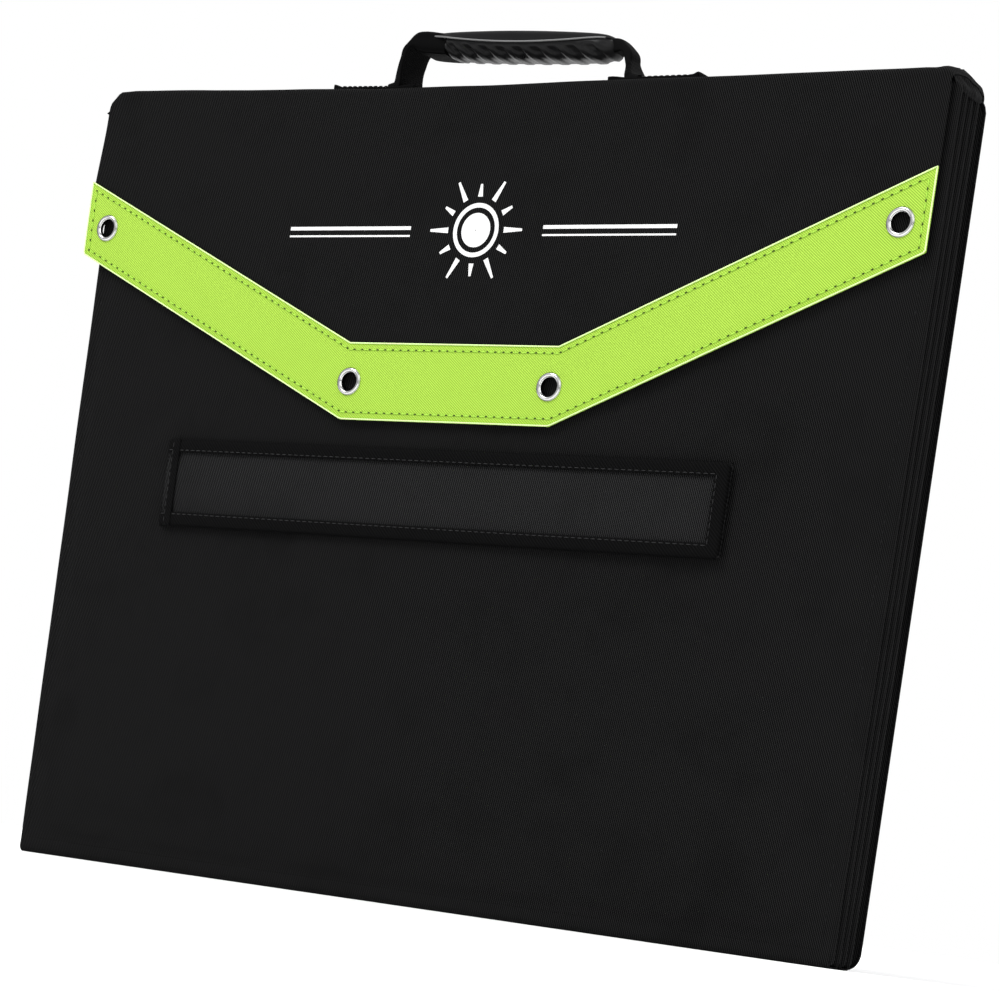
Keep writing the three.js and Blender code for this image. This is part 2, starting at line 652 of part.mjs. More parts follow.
function buildLeads() {
  const y = BACK_SKIN + 0.5 + LEAD_RADIUS;
  const at = (x, z) => new THREE.Vector3(x, y, z);
  const out = CONTROLLER.x - CONTROLLER.width / 2 - 2.5;
  const link = new THREE.CatmullRomCurve3([
    at(JUNCTION.x + JUNCTION.width / 2 + 2.5, JUNCTION.z - 10),
    at(JUNCTION.x + JUNCTION.width / 2 + 40, JUNCTION.z - 14),
    at(out - 20, CONTROLLER.z + 38),
    at(out, CONTROLLER.z + 34),
  ]);
  put('link_cable', tube(link, LEAD_RADIUS, 14), CABLE);
  const coil = [at(out, CONTROLLER.z - 10), at(out - 14, CONTROLLER.z - 13)];
  const steps = 12 * COIL.turns;
  for (let i = 0; i <= steps; i++) {
    const turn = i / 12;
    const radius = COIL.radius - COIL.pitch * turn;
    const angle = -turn * 2 * Math.PI;
    coil.push(at(COIL.x + radius * Math.cos(angle), COIL.z + radius * Math.sin(angle)));
  }
  coil.push(at(COIL.x + 34, COIL.z - 24), at(COIL.x + 12, COIL.z - 30));
  coil.push(at(COIL.x, COIL.z - 18), at(COIL.x, COIL.z - 8));
  put('output_lead', tube(new THREE.CatmullRomCurve3(coil), LEAD_RADIUS, 96), CABLE);
  const near = BACK_SKIN + 0.3;
  const plug = join(
    block([COIL.x - 7, near, COIL.z - 6.5], [COIL.x + 7, near + 9, COIL.z + 24]),
    block([COIL.x - 4, near + 1.5, COIL.z + 23], [COIL.x + 4, near + 7.5, COIL.z + 34]),
  );
  put('output_plug', plug, PLASTIC);
}

PANEL_Y.forEach((middle, i) => panel(i + 1, middle, i % 2 ? -1 : 1));
foldStrip('fold_strip_front', 0, FOLD_LOW);
foldStrip('fold_strip_middle', 1, FOLD_HIGH);
foldStrip('fold_strip_rear', 2, FOLD_LOW);
buildSpine();
buildHandlePatches();
buildHandle();
buildFlap();
buildEyelets();
buildHookAndLoop();
buildLeg();
buildPocket();
buildZip();
buildController();
buildJunctionBox();
buildLeads();

export default suitcase;
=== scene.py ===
"""Looks of the folding solar suitcase: padded fabric sleeves, bound leg, flap with a sewn trim and
eyelets, webbing handle with a moulded grip, rear pocket, and a plain studio around them.
Shapes are worked out in millimetres in the frame's own axes and stored in metres."""

import json
import math

import bmesh
import bpy
import numpy as np
from mathutils import Matrix, Vector, noise

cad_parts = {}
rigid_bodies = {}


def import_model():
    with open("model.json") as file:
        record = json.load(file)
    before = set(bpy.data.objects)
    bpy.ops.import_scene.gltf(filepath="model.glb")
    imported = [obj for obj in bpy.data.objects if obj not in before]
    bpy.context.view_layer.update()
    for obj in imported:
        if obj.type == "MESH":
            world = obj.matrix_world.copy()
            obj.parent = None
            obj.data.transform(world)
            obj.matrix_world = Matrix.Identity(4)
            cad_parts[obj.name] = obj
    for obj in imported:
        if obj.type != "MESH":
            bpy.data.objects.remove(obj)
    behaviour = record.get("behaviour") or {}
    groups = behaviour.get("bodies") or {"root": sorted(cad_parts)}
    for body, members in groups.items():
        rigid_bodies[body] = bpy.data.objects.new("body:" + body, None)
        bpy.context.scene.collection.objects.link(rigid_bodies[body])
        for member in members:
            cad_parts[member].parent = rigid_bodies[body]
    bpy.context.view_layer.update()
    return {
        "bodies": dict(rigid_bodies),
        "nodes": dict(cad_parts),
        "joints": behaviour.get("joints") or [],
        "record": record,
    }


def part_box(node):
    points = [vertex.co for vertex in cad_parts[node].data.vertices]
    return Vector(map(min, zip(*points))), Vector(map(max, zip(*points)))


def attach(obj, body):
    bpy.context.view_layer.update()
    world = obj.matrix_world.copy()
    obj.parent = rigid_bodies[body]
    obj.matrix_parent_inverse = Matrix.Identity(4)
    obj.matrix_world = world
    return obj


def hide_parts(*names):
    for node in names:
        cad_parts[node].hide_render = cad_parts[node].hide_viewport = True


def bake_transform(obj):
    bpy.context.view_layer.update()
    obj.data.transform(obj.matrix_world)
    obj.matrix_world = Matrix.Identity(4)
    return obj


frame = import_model()

MM = 0.001
X, Y, Z = np.eye(3)


def mm_box(node):
    """Lowest and highest corner of a CAD node, in millimetres."""
    low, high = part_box(node)
    return np.array(low) / MM, np.array(high) / MM


# ---------------------------------------------------------------- sizes taken from the frame

COVERS = [mm_box(f"cover_{i}") for i in (1, 2, 3, 4)]
PANEL_Y = [(low[1] + high[1]) / 2 for low, high in COVERS]
PANEL_MID = (COVERS[0][0][2] + COVERS[0][1][2]) / 2
HALF_W, HALF_T, HALF_H = (COVERS[0][1] - COVERS[0][0]) / 2
CORNER, LOW_CORNER = 6.0, 3.2      # radii of the panels' upper and lower corners

FLAP_LOW, FLAP_HIGH = mm_box("flap_sheet")
FLAP_X0, FLAP_X1 = FLAP_LOW[0], FLAP_HIGH[0]
FLAP_MID, FLAP_HALF = (FLAP_X0 + FLAP_X1) / 2, (FLAP_X1 - FLAP_X0) / 2
FLAP_FRONT, FLAP_BACK = FLAP_LOW[1], FLAP_HIGH[1]
SPINE_HIGH = mm_box("spine_cover")[1]
TRIM_HIGH = mm_box("flap_trim")[1]
EYELETS = [mm_box(f"eyelet_{i}") for i in (1, 2, 3, 4)]
EYELET_AT = [((low[0] + high[0]) / 2, (low[2] + high[2]) / 2) for low, high in EYELETS]
LEG_LOW, LEG_HIGH = mm_box("leg_cover")
GRIP_LOW, GRIP_HIGH = mm_box("grip_body")
CAP_HIGH = mm_box("grip_cap")[1]
POCKET_LOW, POCKET_HIGH = mm_box("rear_pocket")

HINGES = {joint["name"]: np.array(joint["pos_m"]) / MM for joint in frame["joints"]
          if "pos_m" in joint}


# ---------------------------------------------------------------- mesh helpers


def xyz(x, y, z):
    """Points from three coordinates, each a number or an array."""
    return np.stack(np.broadcast_arrays(x, y, z), axis=-1)


def turns(count):
    """Angles evenly spaced round a full turn."""
    return np.linspace(0, 2 * math.pi, count, endpoint=False)


def arc(count, start=0, end=90):
    """Evenly spaced angles from start to end degrees, in radians."""
    return np.radians(np.linspace(start, end, count))


def smooth(t):
    """A soft step from 0 to 1 as t goes from 0 to 1."""
    t = np.clip(t, 0, 1)
    return t * t * (3 - 2 * t)


def bell(t, width):
    """1 at t = 0, falling softly to both sides."""
    return np.exp(-((t / width) ** 2))


def power(value, exponent):
    """A power that keeps the value's sign: below 1 it squares up a circle."""
    return np.sign(value) * np.abs(value) ** exponent


def noise_at(x, y, z, size, seed=0.0):
    """Smooth noise of about -1 to 1 with features of the given size, over arrays of points."""
    x, y, z = np.broadcast_arrays(x, y, z)
    flat = zip(x.ravel() / size, y.ravel() / size, z.ravel() / size)
    out = [noise.noise((a + seed, b + 7.3 * seed, c - 3.1 * seed)) for a, b, c in flat]
    return np.array(out).reshape(x.shape)


def lines(low, high, fine, step):
    """Grid lines from low to high: close together near both ends, evenly spaced between."""
    fine = np.array(fine, float)
    inner_low, inner_high = low + fine[-1], high - fine[-1]
    count = max(2, int(round((inner_high - inner_low) / step)))
    middle = np.linspace(inner_low, inner_high, count + 1)
    return np.concatenate([low + fine[:-1], middle, (high - fine[:-1])[::-1]])


def unit(vectors):
    return vectors / np.maximum(np.linalg.norm(vectors, axis=-1, keepdims=True), 1e-9)


def normals(p):
    """Unit normals of a grid of points."""
    return unit(np.cross(np.gradient(p, axis=0), np.gradient(p, axis=1)))


class Shape:
    """Points in millimetres and faces, gathered before they become one mesh."""

    def __init__(self):
        self.points, self.faces, self.count = [], [], 0

    def add(self, points, faces):
        points = np.asarray(points, float).reshape(-1, 3)
        self.points.append(points)
        self.faces += [tuple(i + self.count for i in face) for face in faces]
        self.count += len(points)
        return self

    def grid(self, p, wrap_rows=False, wrap_columns=False):
        p = np.asarray(p)
        rows, columns = p.shape[:2]
        faces = []
        for i in range(rows if wrap_rows else rows - 1):
            for j in range(columns if wrap_columns else columns - 1):
                k, n = (i + 1) % rows, (j + 1) % columns
                faces.append((i * columns + j, i * columns + n, k * columns + n, k * columns + j))
        return self.add(p, faces)

    def closed(self, rows):
        """A tube of rings with both its ends capped."""
        rows = np.asarray(rows)
        base, sides = self.count, rows.shape[1]
        self.grid(rows, wrap_columns=True)
        for first in (base, self.count - sides):
            self.faces.append(tuple(range(first, first + sides)))
        return self


def sheet(p, thick, toward, walls="lrtb", lip=0.25, shape=None, probe=None):
    """A sheet whose outer face p looks toward a direction, given thickness behind it, with
    rounded rims. Walls: l and r for the first and last column, t and b for the first and last
    row. The side is settled at the grid's middle, or at the row and column of the probe."""
    p = np.asarray(p)
    shape = shape or Shape()
    n = normals(p)
    at = probe or (p.shape[0] // 2, p.shape[1] // 2)
    inner = p - n * thick * (1 if n[at] @ np.asarray(toward) > 0 else -1)
    shape.grid(p)
    shape.grid(inner)
    edges = {"t": (0, 1), "b": (-1, -2), "l": (0, 1), "r": (-1, -2)}
    for wall in walls:
        rim_at, next_at = edges[wall]
        turned = [a if wall in "tb" else a.swapaxes(0, 1) for a in (p, inner)]
        outer_row, inner_row = turned[0][rim_at], turned[1][rim_at]
        outward = unit(outer_row - turned[0][next_at])
        rows = [outer_row]
        for t in (0.15, 0.5, 0.85):
            bulge = lip * math.sin(math.pi * t) ** 0.5
            rows.append(outer_row * (1 - t) + inner_row * t + outward * bulge)
        shape.grid(rows + [inner_row])
    return shape


def capsule(a, b, radius, sides=6):
    """A short thread from a to b, lying like a grain of rice."""
    a, b = np.asarray(a, float), np.asarray(b, float)
    axis = unit(b - a)
    u = unit(np.cross(axis, Y if abs(axis[1]) < 0.9 else X))
    v = np.cross(axis, u)
    ring = np.cos(turns(sides))[:, None] * u + np.sin(turns(sides))[:, None] * v
    stations = [(0.0, 0.25), (0.18, 0.8), (0.5, 1.0), (0.82, 0.8), (1.0, 0.25)]
    return [a + (b - a) * t + ring * radius * r for t, r in stations]


def along(path, pitch, start=0.5):
    """Points every pitch along a polyline, with the direction there."""
    path = np.asarray(path, float)
    steps = np.linalg.norm(np.diff(path, axis=0), axis=1)
    total = np.concatenate([[0], np.cumsum(steps)])
    count = max(1, int(total[-1] / pitch))
    at = (np.arange(count) + start) * (total[-1] / count)
    points, ahead, behind = (xyz(*(np.interp(at + shift, total, path[:, k]) for k in range(3)))
                             for shift in (0, 0.2, -0.2))
    return points, unit(ahead - behind)


def placed(name, data):
    """A new object in the scene."""
    obj = bpy.data.objects.new(name, data)
    bpy.context.scene.collection.objects.link(obj)
    return obj


def build(name, shape, material, sharp=None, recalc=True, weld=True):
    """Makes a smooth-shaded object, with edges beyond the angle sharp, in degrees, kept crisp."""
    mesh = bpy.data.meshes.new(name)
    mesh.from_pydata((np.concatenate(shape.points) * MM).tolist(), [], shape.faces)
    mesh.materials.append(material)
    bm = bmesh.new()
    bm.from_mesh(mesh)
    if weld:
        bmesh.ops.remove_doubles(bm, verts=bm.verts, dist=1e-6)
    if recalc:
        bmesh.ops.recalc_face_normals(bm, faces=bm.faces)
    for face in bm.faces:
        face.smooth = True
    bm.to_mesh(mesh)
    bm.free()
    if sharp:
        mesh.set_sharp_from_angle(angle=math.radians(sharp))
    return placed(name, mesh)


def stands_for(obj, *nodes, slot="black_twill"):
    """Hides the CAD nodes that a piece replaces. Its slot argument is not used."""
    if nodes:
        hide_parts(*nodes)
    return obj


def piece(name, shape, material, body, *nodes, slot="black_twill", **settings):
    """A mesh that rides on one body and stands for the CAD nodes named."""
    obj = build(name, shape, material, **settings)
    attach(obj, body)
    return stands_for(obj, *nodes, slot=slot)


def bend(obj):
    """Bakes a piece's placement into its mesh. It is tied to no body, so it stays put when the
    bodies move.
    """
    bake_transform(obj)
    return obj


# ---------------------------------------------------------------- materials

TWILL_PITCH = 1.3 * MM             # one twill line to the next
TWILL_LINES = (1.0, 0.7, 0.467)    # direction across the twill's diagonal lines


class Nodes:
    """Small builder of shader nodes on object coordinates."""

    def __init__(self, owner):
        owner.use_nodes = True
        self.owner, self.tree = owner, owner.node_tree
        self.coordinates = self.new("ShaderNodeTexCoord").outputs["Object"]

    def new(self, kind, inputs=(), **settings):
        """A node, with values or sockets for its inputs, by name or place."""
        node = self.tree.nodes.new(kind)
        for key, value in settings.items():
            setattr(node, key, value)
        for key, value in dict(inputs).items():
            self.link(value, node.inputs[key])
        return node

    def link(self, value, socket):
        if isinstance(value, bpy.types.NodeSocket):
            self.tree.links.new(value, socket)
        elif isinstance(value, tuple) and len(value) == 3 and socket.type == "RGBA":
            socket.default_value = (*value, 1.0)
        else:
            socket.default_value = value

    def math(self, operation, a, b=0.0):
        return self.new("ShaderNodeMath", {0: a, 1: b}, operation=operation).outputs[0]

    def dot(self, a, b):
        vectors = {0: a, 1: b}
        return self.new("ShaderNodeVectorMath", vectors, operation="DOT_PRODUCT").outputs["Value"]

    def noise(self, scale, detail=2.0, roughness=0.5, stretch=None):
        at = self.coordinates
        if stretch:
            vectors = {0: at, 1: stretch}
            at = self.new("ShaderNodeVectorMath", vectors, operation="MULTIPLY").outputs[0]
        values = {"Scale": scale, "Detail": detail, "Roughness": roughness, "Vector": at}
        return self.new("ShaderNodeTexNoise", values).outputs["Fac"]

    def span(self, value, low, high, to_low=0.0, to_high=1.0):
        values = {"Value": value, "From Min": low, "From Max": high, "To Min": to_low,
                  "To Max": to_high}
        return self.new("ShaderNodeMapRange", values).outputs["Result"]

    def mix(self, factor, a, b):
        values = {"Factor": factor, "A": a, "B": b}
        return self.new("ShaderNodeMix", values, data_type="RGBA").outputs["Result"]

    def wave(self, vector, pitch, wander=0.35, grain=900.0):
        """Threads that lie side by side: 0 between two of them and 1 on the crown of each."""
        scale = 2 * math.pi / pitch
        phase = self.dot(self.coordinates, [v * scale for v in vector])
        if wander:
            shift = self.math("MULTIPLY", self.noise(grain * 0.12, 1.0), wander * 2 * math.pi)
            phase = self.math("ADD", phase, shift)
        return self.span(self.math("SINE", phase), -1.0, 1.0)

    def bump(self, height, distance, strength=1.0, normal=None):
        values = {"Distance": distance, "Strength": strength, "Height": height}
        if normal is not None:
            values["Normal"] = normal
        return self.new("ShaderNodeBump", values).outputs["Normal"]

    def edge(self, radius):
        """1 on sharp convex edges, 0 elsewhere."""
        node = self.new("ShaderNodeBevel", {"Radius": radius}, samples=4)
        geometry = self.new("ShaderNodeNewGeometry")
        return self.span(self.dot(node.outputs[0], geometry.outputs["Normal"]), 1.0, 0.85)

    def done(self, color, roughness, metallic=0.0, **more):
        values = {"Base Color": color, "Roughness": roughness, "Metallic": metallic}
        values.update({key.replace("_", " "): value for key, value in more.items()})
        for key, value in values.items():
            self.link(value, self.tree.nodes["Principled BSDF"].inputs[key])
        return self.owner


def material_nodes(name):
    return Nodes(bpy.data.materials.new(name))


def twill(name, dark, light, shade=0.35, roughness=0.78, relief=0.22, direction=TWILL_LINES,
          pitch=TWILL_PITCH, specular=0.35, tint=None):
    """Twill: diagonal lines of small thread floats, with the slight unevenness of real cloth."""
    n = material_nodes(name)
    diagonal = n.wave(direction, pitch, wander=0.16, grain=700)
    warp = n.wave((0.83, -0.72, -1.21), pitch * 1.05, wander=0.1, grain=500)
    weave = n.math("MULTIPLY", diagonal, n.span(warp, 0.0, 1.0, 0.55, 1.0))
    fibre = n.noise(5200.0, 2.0, 0.6)
    patches = n.noise(26.0, 4.0, 0.6)
    level = n.math("ADD", n.math("MULTIPLY", weave, 0.72), n.math("MULTIPLY", fibre, 0.5))
    color = n.mix(n.span(level, 0.28, 1.0), dark, light)
    soft = n.span(patches, 0.3, 0.7, 1.0 - shade * 0.5, 1.0 + shade * 0.5)
    color = n.mix(n.math("SUBTRACT", 1.0, soft), color, tint or dark)
    height = n.math("ADD", n.math("MULTIPLY", weave, 0.8), n.math("MULTIPLY", fibre, 0.25))
    normal = n.bump(height, relief * MM, 0.75, n.bump(patches, 0.6 * MM, 0.25))
    rough = n.span(weave, 0.0, 1.0, min(1.0, roughness + 0.12), roughness - 0.06)
    return n.done(color, rough, Normal=normal, Specular_IOR_Level=specular)


def webbing(name, dark, light, across, pitch=1.5 * MM, lengthwise=(1.0, 0.0, 1.0), specular=0.03):
    """Woven tape: ribs across its width and rows of picks along it."""
    n = material_nodes(name)
    ribs = n.wave(across, pitch, wander=0.08, grain=300)
    picks = n.wave(lengthwise, pitch * 0.8, wander=0.1, grain=300)
    weave = n.math("MULTIPLY", n.span(ribs, 0, 1, 0.25, 1.0), n.span(picks, 0, 1, 0.5, 1.0))
    fibre = n.noise(4200.0, 2.0, 0.6)
    wear = n.noise(60.0, 3.0, 0.6)
    level = n.math("ADD", weave, n.math("MULTIPLY", fibre, 0.4))
    normal = n.bump(weave, 0.35 * MM, 0.8, n.bump(wear, 0.5 * MM, 0.2))
    return n.done(n.mix(n.span(level, 0.2, 1.2), dark, light),
                  n.span(fibre, 0.3, 0.7, 0.62, 0.85), Normal=normal, Specular_IOR_Level=specular)


def thread(name, color, dark, roughness=0.5):
    """Twisted sewing thread."""
    n = material_nodes(name)
    twist = n.wave((1.0, 0.6, 0.9), 0.55 * MM, wander=0.0)
    return n.done(n.mix(twist, dark, color), n.span(twist, 0, 1, roughness + 0.15, roughness),
                  Normal=n.bump(twist, 0.08 * MM, 0.6), Specular_IOR_Level=0.25)


def metal(name, color, roughness=0.12):
    """Plated metal with a little wear, and painted shade that darkens it where it turns away from
    the view.
    """
    n = material_nodes(name)
    cloud = n.noise(160.0, 3.0, 0.6)
    scratch = n.noise(900.0, 2.0, 0.7, stretch=(1.0, 1.0, 0.08))
    tone_mask = n.span(n.math("ADD", cloud, n.math("MULTIPLY", scratch, 0.6)), 0.5, 1.1)
    facing = n.new("ShaderNodeLayerWeight", {"Blend": 0.45}).outputs["Facing"]
    turned = n.span(facing, 0.16, 0.55, 0.0, 0.88)
    color = n.mix(n.math("MULTIPLY", tone_mask, 0.3), color, tuple(c * 0.5 for c in color))
    # Painted shade: nearly black where the surface turns away from the view, in place of the dark
    # surroundings it would reflect.
    return n.done(n.mix(turned, color, (0.05, 0.05, 0.052)),
                  n.span(tone_mask, 0, 1, roughness, roughness + 0.16), 1.0,
                  Normal=n.bump(scratch, 0.02 * MM, 0.25))


def plastic(name, color, roughness=0.42, grain=0.06, light=None, specular=0.5):
    """Moulded plastic with a fine grain, a random cloud of tone, and a painted highlight that makes
    its sharp edges paler.
    """
    n = material_nodes(name)
    spark = n.noise(1500.0, 3.0, 0.65)
    cloud = n.noise(45.0, 3.0, 0.6)
    light = light or tuple(min(1.0, c * 1.8 + 0.01) for c in color)
    # A random cloud of tone, plus a painted highlight on sharp convex edges.
    tone_mask = n.math("ADD", n.math("MULTIPLY", cloud, 0.3),
                  n.math("MULTIPLY", n.edge(0.5 * MM), 0.5))
    return n.done(n.mix(tone_mask, color, light),
                  n.span(cloud, 0.3, 0.7, roughness - 0.05, roughness + 0.1),
                  Normal=n.bump(spark, grain * MM, 0.5), Specular_IOR_Level=specular)


def cell_silicon():
    """Mono silicon: dark blue with fine fingers across and six bright bars up each cell."""
    n = material_nodes("silicon")
    cell, gap = 125.0 * MM, 3.0 * MM
    pitch = cell / 6
    thin = n.span(n.wave((0.0, 0.0, 1.0), 1.7 * MM, wander=0.0), 0.9, 0.98)
    half_row = (cell * 4 + gap * 3) / 2
    start = half_row - pitch + 48 * pitch    # whole pairs of bars more, to stay above zero
    across = n.math("ADD", n.dot(n.coordinates, (1, 0, 0)), start)
    bar = n.span(n.math("PINGPONG", across, pitch), 1.0 * MM, 0.7 * MM)
    cloud = n.noise(30.0, 3.0, 0.6)
    base = n.mix(cloud, (0.006, 0.009, 0.026), (0.016, 0.022, 0.055))
    color = n.mix(n.math("MULTIPLY", thin, 0.35), base, (0.30, 0.32, 0.36))
    color = n.mix(bar, color, (0.62, 0.63, 0.66))
    return n.done(color, n.span(cloud, 0.3, 0.7, 0.2, 0.3), n.math("MULTIPLY", bar, 0.7),
                  Normal=n.bump(thin, 0.02 * MM, 0.3), Specular_IOR_Level=0.25,
                  Coat_Weight=0.25, Coat_Roughness=0.08)


def laminate_sheet():
    """White backing film with a faint embossed pebble."""
    n = material_nodes("laminate")
    cloud = n.noise(18.0, 3.0, 0.6)
    return n.done(n.mix(cloud, (0.70, 0.72, 0.73), (0.82, 0.83, 0.84)),
                  n.span(cloud, 0.3, 0.7, 0.28, 0.4), Coat_Weight=0.3, Coat_Roughness=0.15,
                  Normal=n.bump(n.noise(700.0, 1.0, 0.4), 0.12 * MM, 0.5))


def fibre_board():
    """Pressed grey board with stretched fibres."""
    n = material_nodes("board")
    fibre = n.noise(420.0, 5.0, 0.7, stretch=(1.0, 0.4, 0.4))
    return n.done(n.mix(fibre, (0.18, 0.19, 0.20), (0.30, 0.31, 0.32)),
                  n.span(fibre, 0.3, 0.7, 0.6, 0.85), Normal=n.bump(fibre, 0.15 * MM, 0.5))


def hook_and_loop():
    """A dense black pile of small cells."""
    n = material_nodes("hook_loop")
    values = {"Scale": 900.0, "Vector": n.coordinates}
    pile = n.new("ShaderNodeTexVoronoi", values).outputs["Distance"]
    return n.done(n.mix(n.span(pile, 0.0, 0.7), (0.03, 0.03, 0.03), (0.006, 0.006, 0.006)),
                  0.85, Normal=n.bump(pile, 0.4 * MM, 0.9), Sheen_Weight=0.2)


def printed(name, color):
    """Screen-printed ink that lets the cloth's lines show through."""
    n = material_nodes(name)
    weave = n.wave(TWILL_LINES, TWILL_PITCH, wander=0.16, grain=700)
    speck = n.noise(2600.0, 2.0, 0.6)
    dark = tuple(c * 0.86 for c in color)
    return n.done(n.mix(n.math("MULTIPLY", weave, speck), dark, color),
                  n.span(speck, 0.3, 0.7, 0.5, 0.65), Normal=n.bump(weave, 0.1 * MM, 0.6))


def display_glass():
    """A blank liquid crystal display: a faint grid of dots under glass."""
    n = material_nodes("display")
    dots = n.math("MULTIPLY", n.wave((1, 0, 0), 1.1 * MM, 0.0), n.wave((0, 0, 1), 1.1 * MM, 0.0))
    color = n.mix(n.span(dots, 0.4, 0.9), (0.14, 0.22, 0.15), (0.18, 0.27, 0.19))
    return n.done(color, 0.18, Normal=n.bump(dots, 0.02 * MM, 0.2), Coat_Weight=1.0,
                  Coat_Roughness=0.05)


def grey(level):
    return (level, level, level)


BLACK = twill("black_twill", grey(0.0004), (0.0185, 0.0185, 0.0188), specular=0.035, relief=0.3)
GREY = twill("grey_twill", grey(0.0008), (0.0300, 0.0302, 0.0310), relief=0.32, specular=0.05)
GREEN = twill("green_twill", (0.22, 0.38, 0.030), (0.50, 0.78, 0.098), shade=0.25, roughness=0.7,
              relief=0.2, tint=(0.28, 0.46, 0.04), specular=0.15, direction=(0.62, 0.3, 0.80),
              pitch=1.1 * MM)
BINDING = webbing("binding_tape", grey(0.0003), (0.0054, 0.0054, 0.0056), (0.7, 0, 0.7))
STRAP = webbing("webbing", grey(0.0002), (0.0050, 0.0050, 0.0052), (0.0, 1.0, 0.0))
BLACK_THREAD = thread("black_thread", (0.020, 0.020, 0.021), grey(0.003))
GREEN_THREAD = thread("green_thread", (0.50, 0.84, 0.10), (0.30, 0.55, 0.05), 0.6)
# Dark dots at the needle holes: painted shade in the holes.
NEEDLE_HOLE_SHADE = thread("needle_hole_shade", (0.045, 0.085, 0.012), (0.02, 0.04, 0.006), 0.9)
# Near-white edge round the trim: a pale cut edge, brightened further as a painted highlight.
CUT_EDGE_AND_HIGHLIGHT = twill("cut_edge_and_highlight", (0.62, 0.86, 0.30), (0.86, 1.0, 0.58), relief=0.05)
NICKEL = metal("nickel", (0.74, 0.74, 0.73), 0.09)
ZIP_METAL = metal("zip_metal", (0.16, 0.16, 0.17), 0.3)
# The paler colours of the grip and its cap go on their sharp edges and rib crests, as a painted
# highlight.
GRIP = plastic("grip", (0.0022, 0.0022, 0.0023), 0.28, 0.05, (0.045, 0.045, 0.046), 0.09)
CAP = plastic("grip_cap", (0.0050, 0.0050, 0.0053), 0.5, 0.03, (0.011, 0.011, 0.0115), 0.03)
# Pale bead colour for the cap's rim: a painted highlight.
CAP_RIM_HIGHLIGHT = plastic("grip_cap_rim_highlight", grey(0.10), 0.35, 0.03, grey(0.24))
PRINT = printed("print_white", (0.86, 0.86, 0.85))

SLOT_MATERIALS = {
    "black_twill": BLACK, "grey_twill": GREY, "green_twill": GREEN, "black_tape": BINDING,
    "zip": BINDING, "zip_metal": ZIP_METAL, "nickel": NICKEL, "grip": GRIP,
    "hook_loop": hook_and_loop(), "board": fibre_board(), "laminate": laminate_sheet(),
    "silicon": cell_silicon(), "display": display_glass(),
    "plastic": plastic("plastic", (0.012, 0.0125, 0.014), 0.42),
    "key": plastic("key", (0.06, 0.36, 0.07), 0.4),
    "terminal": plastic("terminal", (0.02, 0.13, 0.045), 0.45),
    "cable": plastic("cable", (0.006, 0.006, 0.0065), 0.45, 0.04),
}
for part in frame["record"]["subparts"]:
    node = frame["nodes"][part["node"]]
    node.data.materials.clear()
    node.data.materials.append(SLOT_MATERIALS[part["material_slot"]])
    node.data.set_sharp_from_angle(angle=math.radians(35))


def sewn(name, paths, body, slot="black_twill", pitch=4.6, length=3.3, radius=0.28,
         material=BLACK_THREAD):
    """Rows of thread stitches along paths that lie on the fabric."""
    threads = Shape()
    for path in paths:
        for p, d in zip(*along(path, pitch)):
            threads.closed(capsule(p - d * length / 2, p + d * length / 2, radius))
    return piece(name, threads, material, body, slot=slot, weld=False)


# ---------------------------------------------------------------- padded sleeves

SKIN = 0.45                        # least cover of the fabric over the board
HEM = 2.3                          # half thickness of a sleeve at its sewn edge
STITCH_IN = 7.0                    # stitch line to the edge
ROLL = 2.6                         # how far in the rounded edge reaches
WINDOW_IN = (16.0, 24.0)           # width of the border round the cells, at the sides and ends
BORDER = 11.0                      # flat part of that border, from the edge
SEAM_DEEP, SEAM_WIDE = 0.34, 0.95  # groove that the stitches pull into the skin
FINE = (0, 1.6, 3.2, 4.0, 4.7, 5.5, 7.5, 10.5, 14.0, 19.0)


def rounded(u, v, half_w, half_h, radius):
    """Square domain -1..1 laid onto a rectangle with round corners."""
    x, z = np.asarray(u, float) * half_w, np.asarray(v, float) * half_h
    ax, az = np.abs(x) - (half_w - radius), np.abs(z) - (half_h - radius)
    both = (ax > 0) & (az > 0)
    scale = np.where(both, np.maximum(ax, az) / np.maximum(np.hypot(ax, az), 1e-9), 1.0)
    x = np.where(both, np.sign(x) * (half_w - radius + ax * scale), x)
    z = np.where(both, np.sign(z) * (half_h - radius + az * scale), z)
    return x, z


def corner_at(z):
    """Corner radius of a panel above or below its middle."""
    return np.where(np.asarray(z) < 0, LOW_CORNER, CORNER)


def inset_of(x, z):
    """Distance in from the outline of a panel, with z measured from its middle."""
    radius = corner_at(z)
    qx, qz = np.abs(x) - (HALF_W - radius), np.abs(z) - (HALF_H - radius)
    outside = np.hypot(np.maximum(qx, 0), np.maximum(qz, 0))
    return radius - outside - np.minimum(np.maximum(qx, qz), 0)


def rim(u_lines, v_lines):
    """The border of a grid of lines as one closed loop."""
    loop = [(u, v_lines[0]) for u in u_lines[:-1]] + [(u_lines[-1], v) for v in v_lines[:-1]]
    loop += [(u, v_lines[-1]) for u in u_lines[:0:-1]] + [(u_lines[0], v) for v in v_lines[:0:-1]]
    return np.array(loop).T


def skin_height(x, z, number, relief):
    """Height of a sleeve's skin over its middle plane, with z measured from the panel's middle."""
    inset = inset_of(x, z)
    height = HEM + (HALF_T - HEM) * smooth((inset - STITCH_IN) / 12)
    height -= SEAM_DEEP * bell(inset - STITCH_IN, SEAM_WIDE)
    inner = smooth((inset - 4) / 24)
    height += relief * inner * (0.55 * noise_at(x, 0, z, 120, number) - 0.25)
    height += relief * 0.22 * inner * noise_at(x, 0, z, 34, number + 9)
    run = np.where(np.abs(x) * HALF_H > np.abs(z) * HALF_W, z, x)
    pucker = noise_at(run, inset * 0.3, 0, 6.5, number + 4)
    height += 0.16 * relief * bell(inset - STITCH_IN, 5.0) * pucker
    if number in (2, 3):
        belly = smooth((inset - 10) / 12) * bell(x, 130)
        touching = (PANEL_Y[2] - PANEL_Y[1]) / 2 - 0.04
        height = np.minimum(height + 0.9 * belly, touching)
    return height


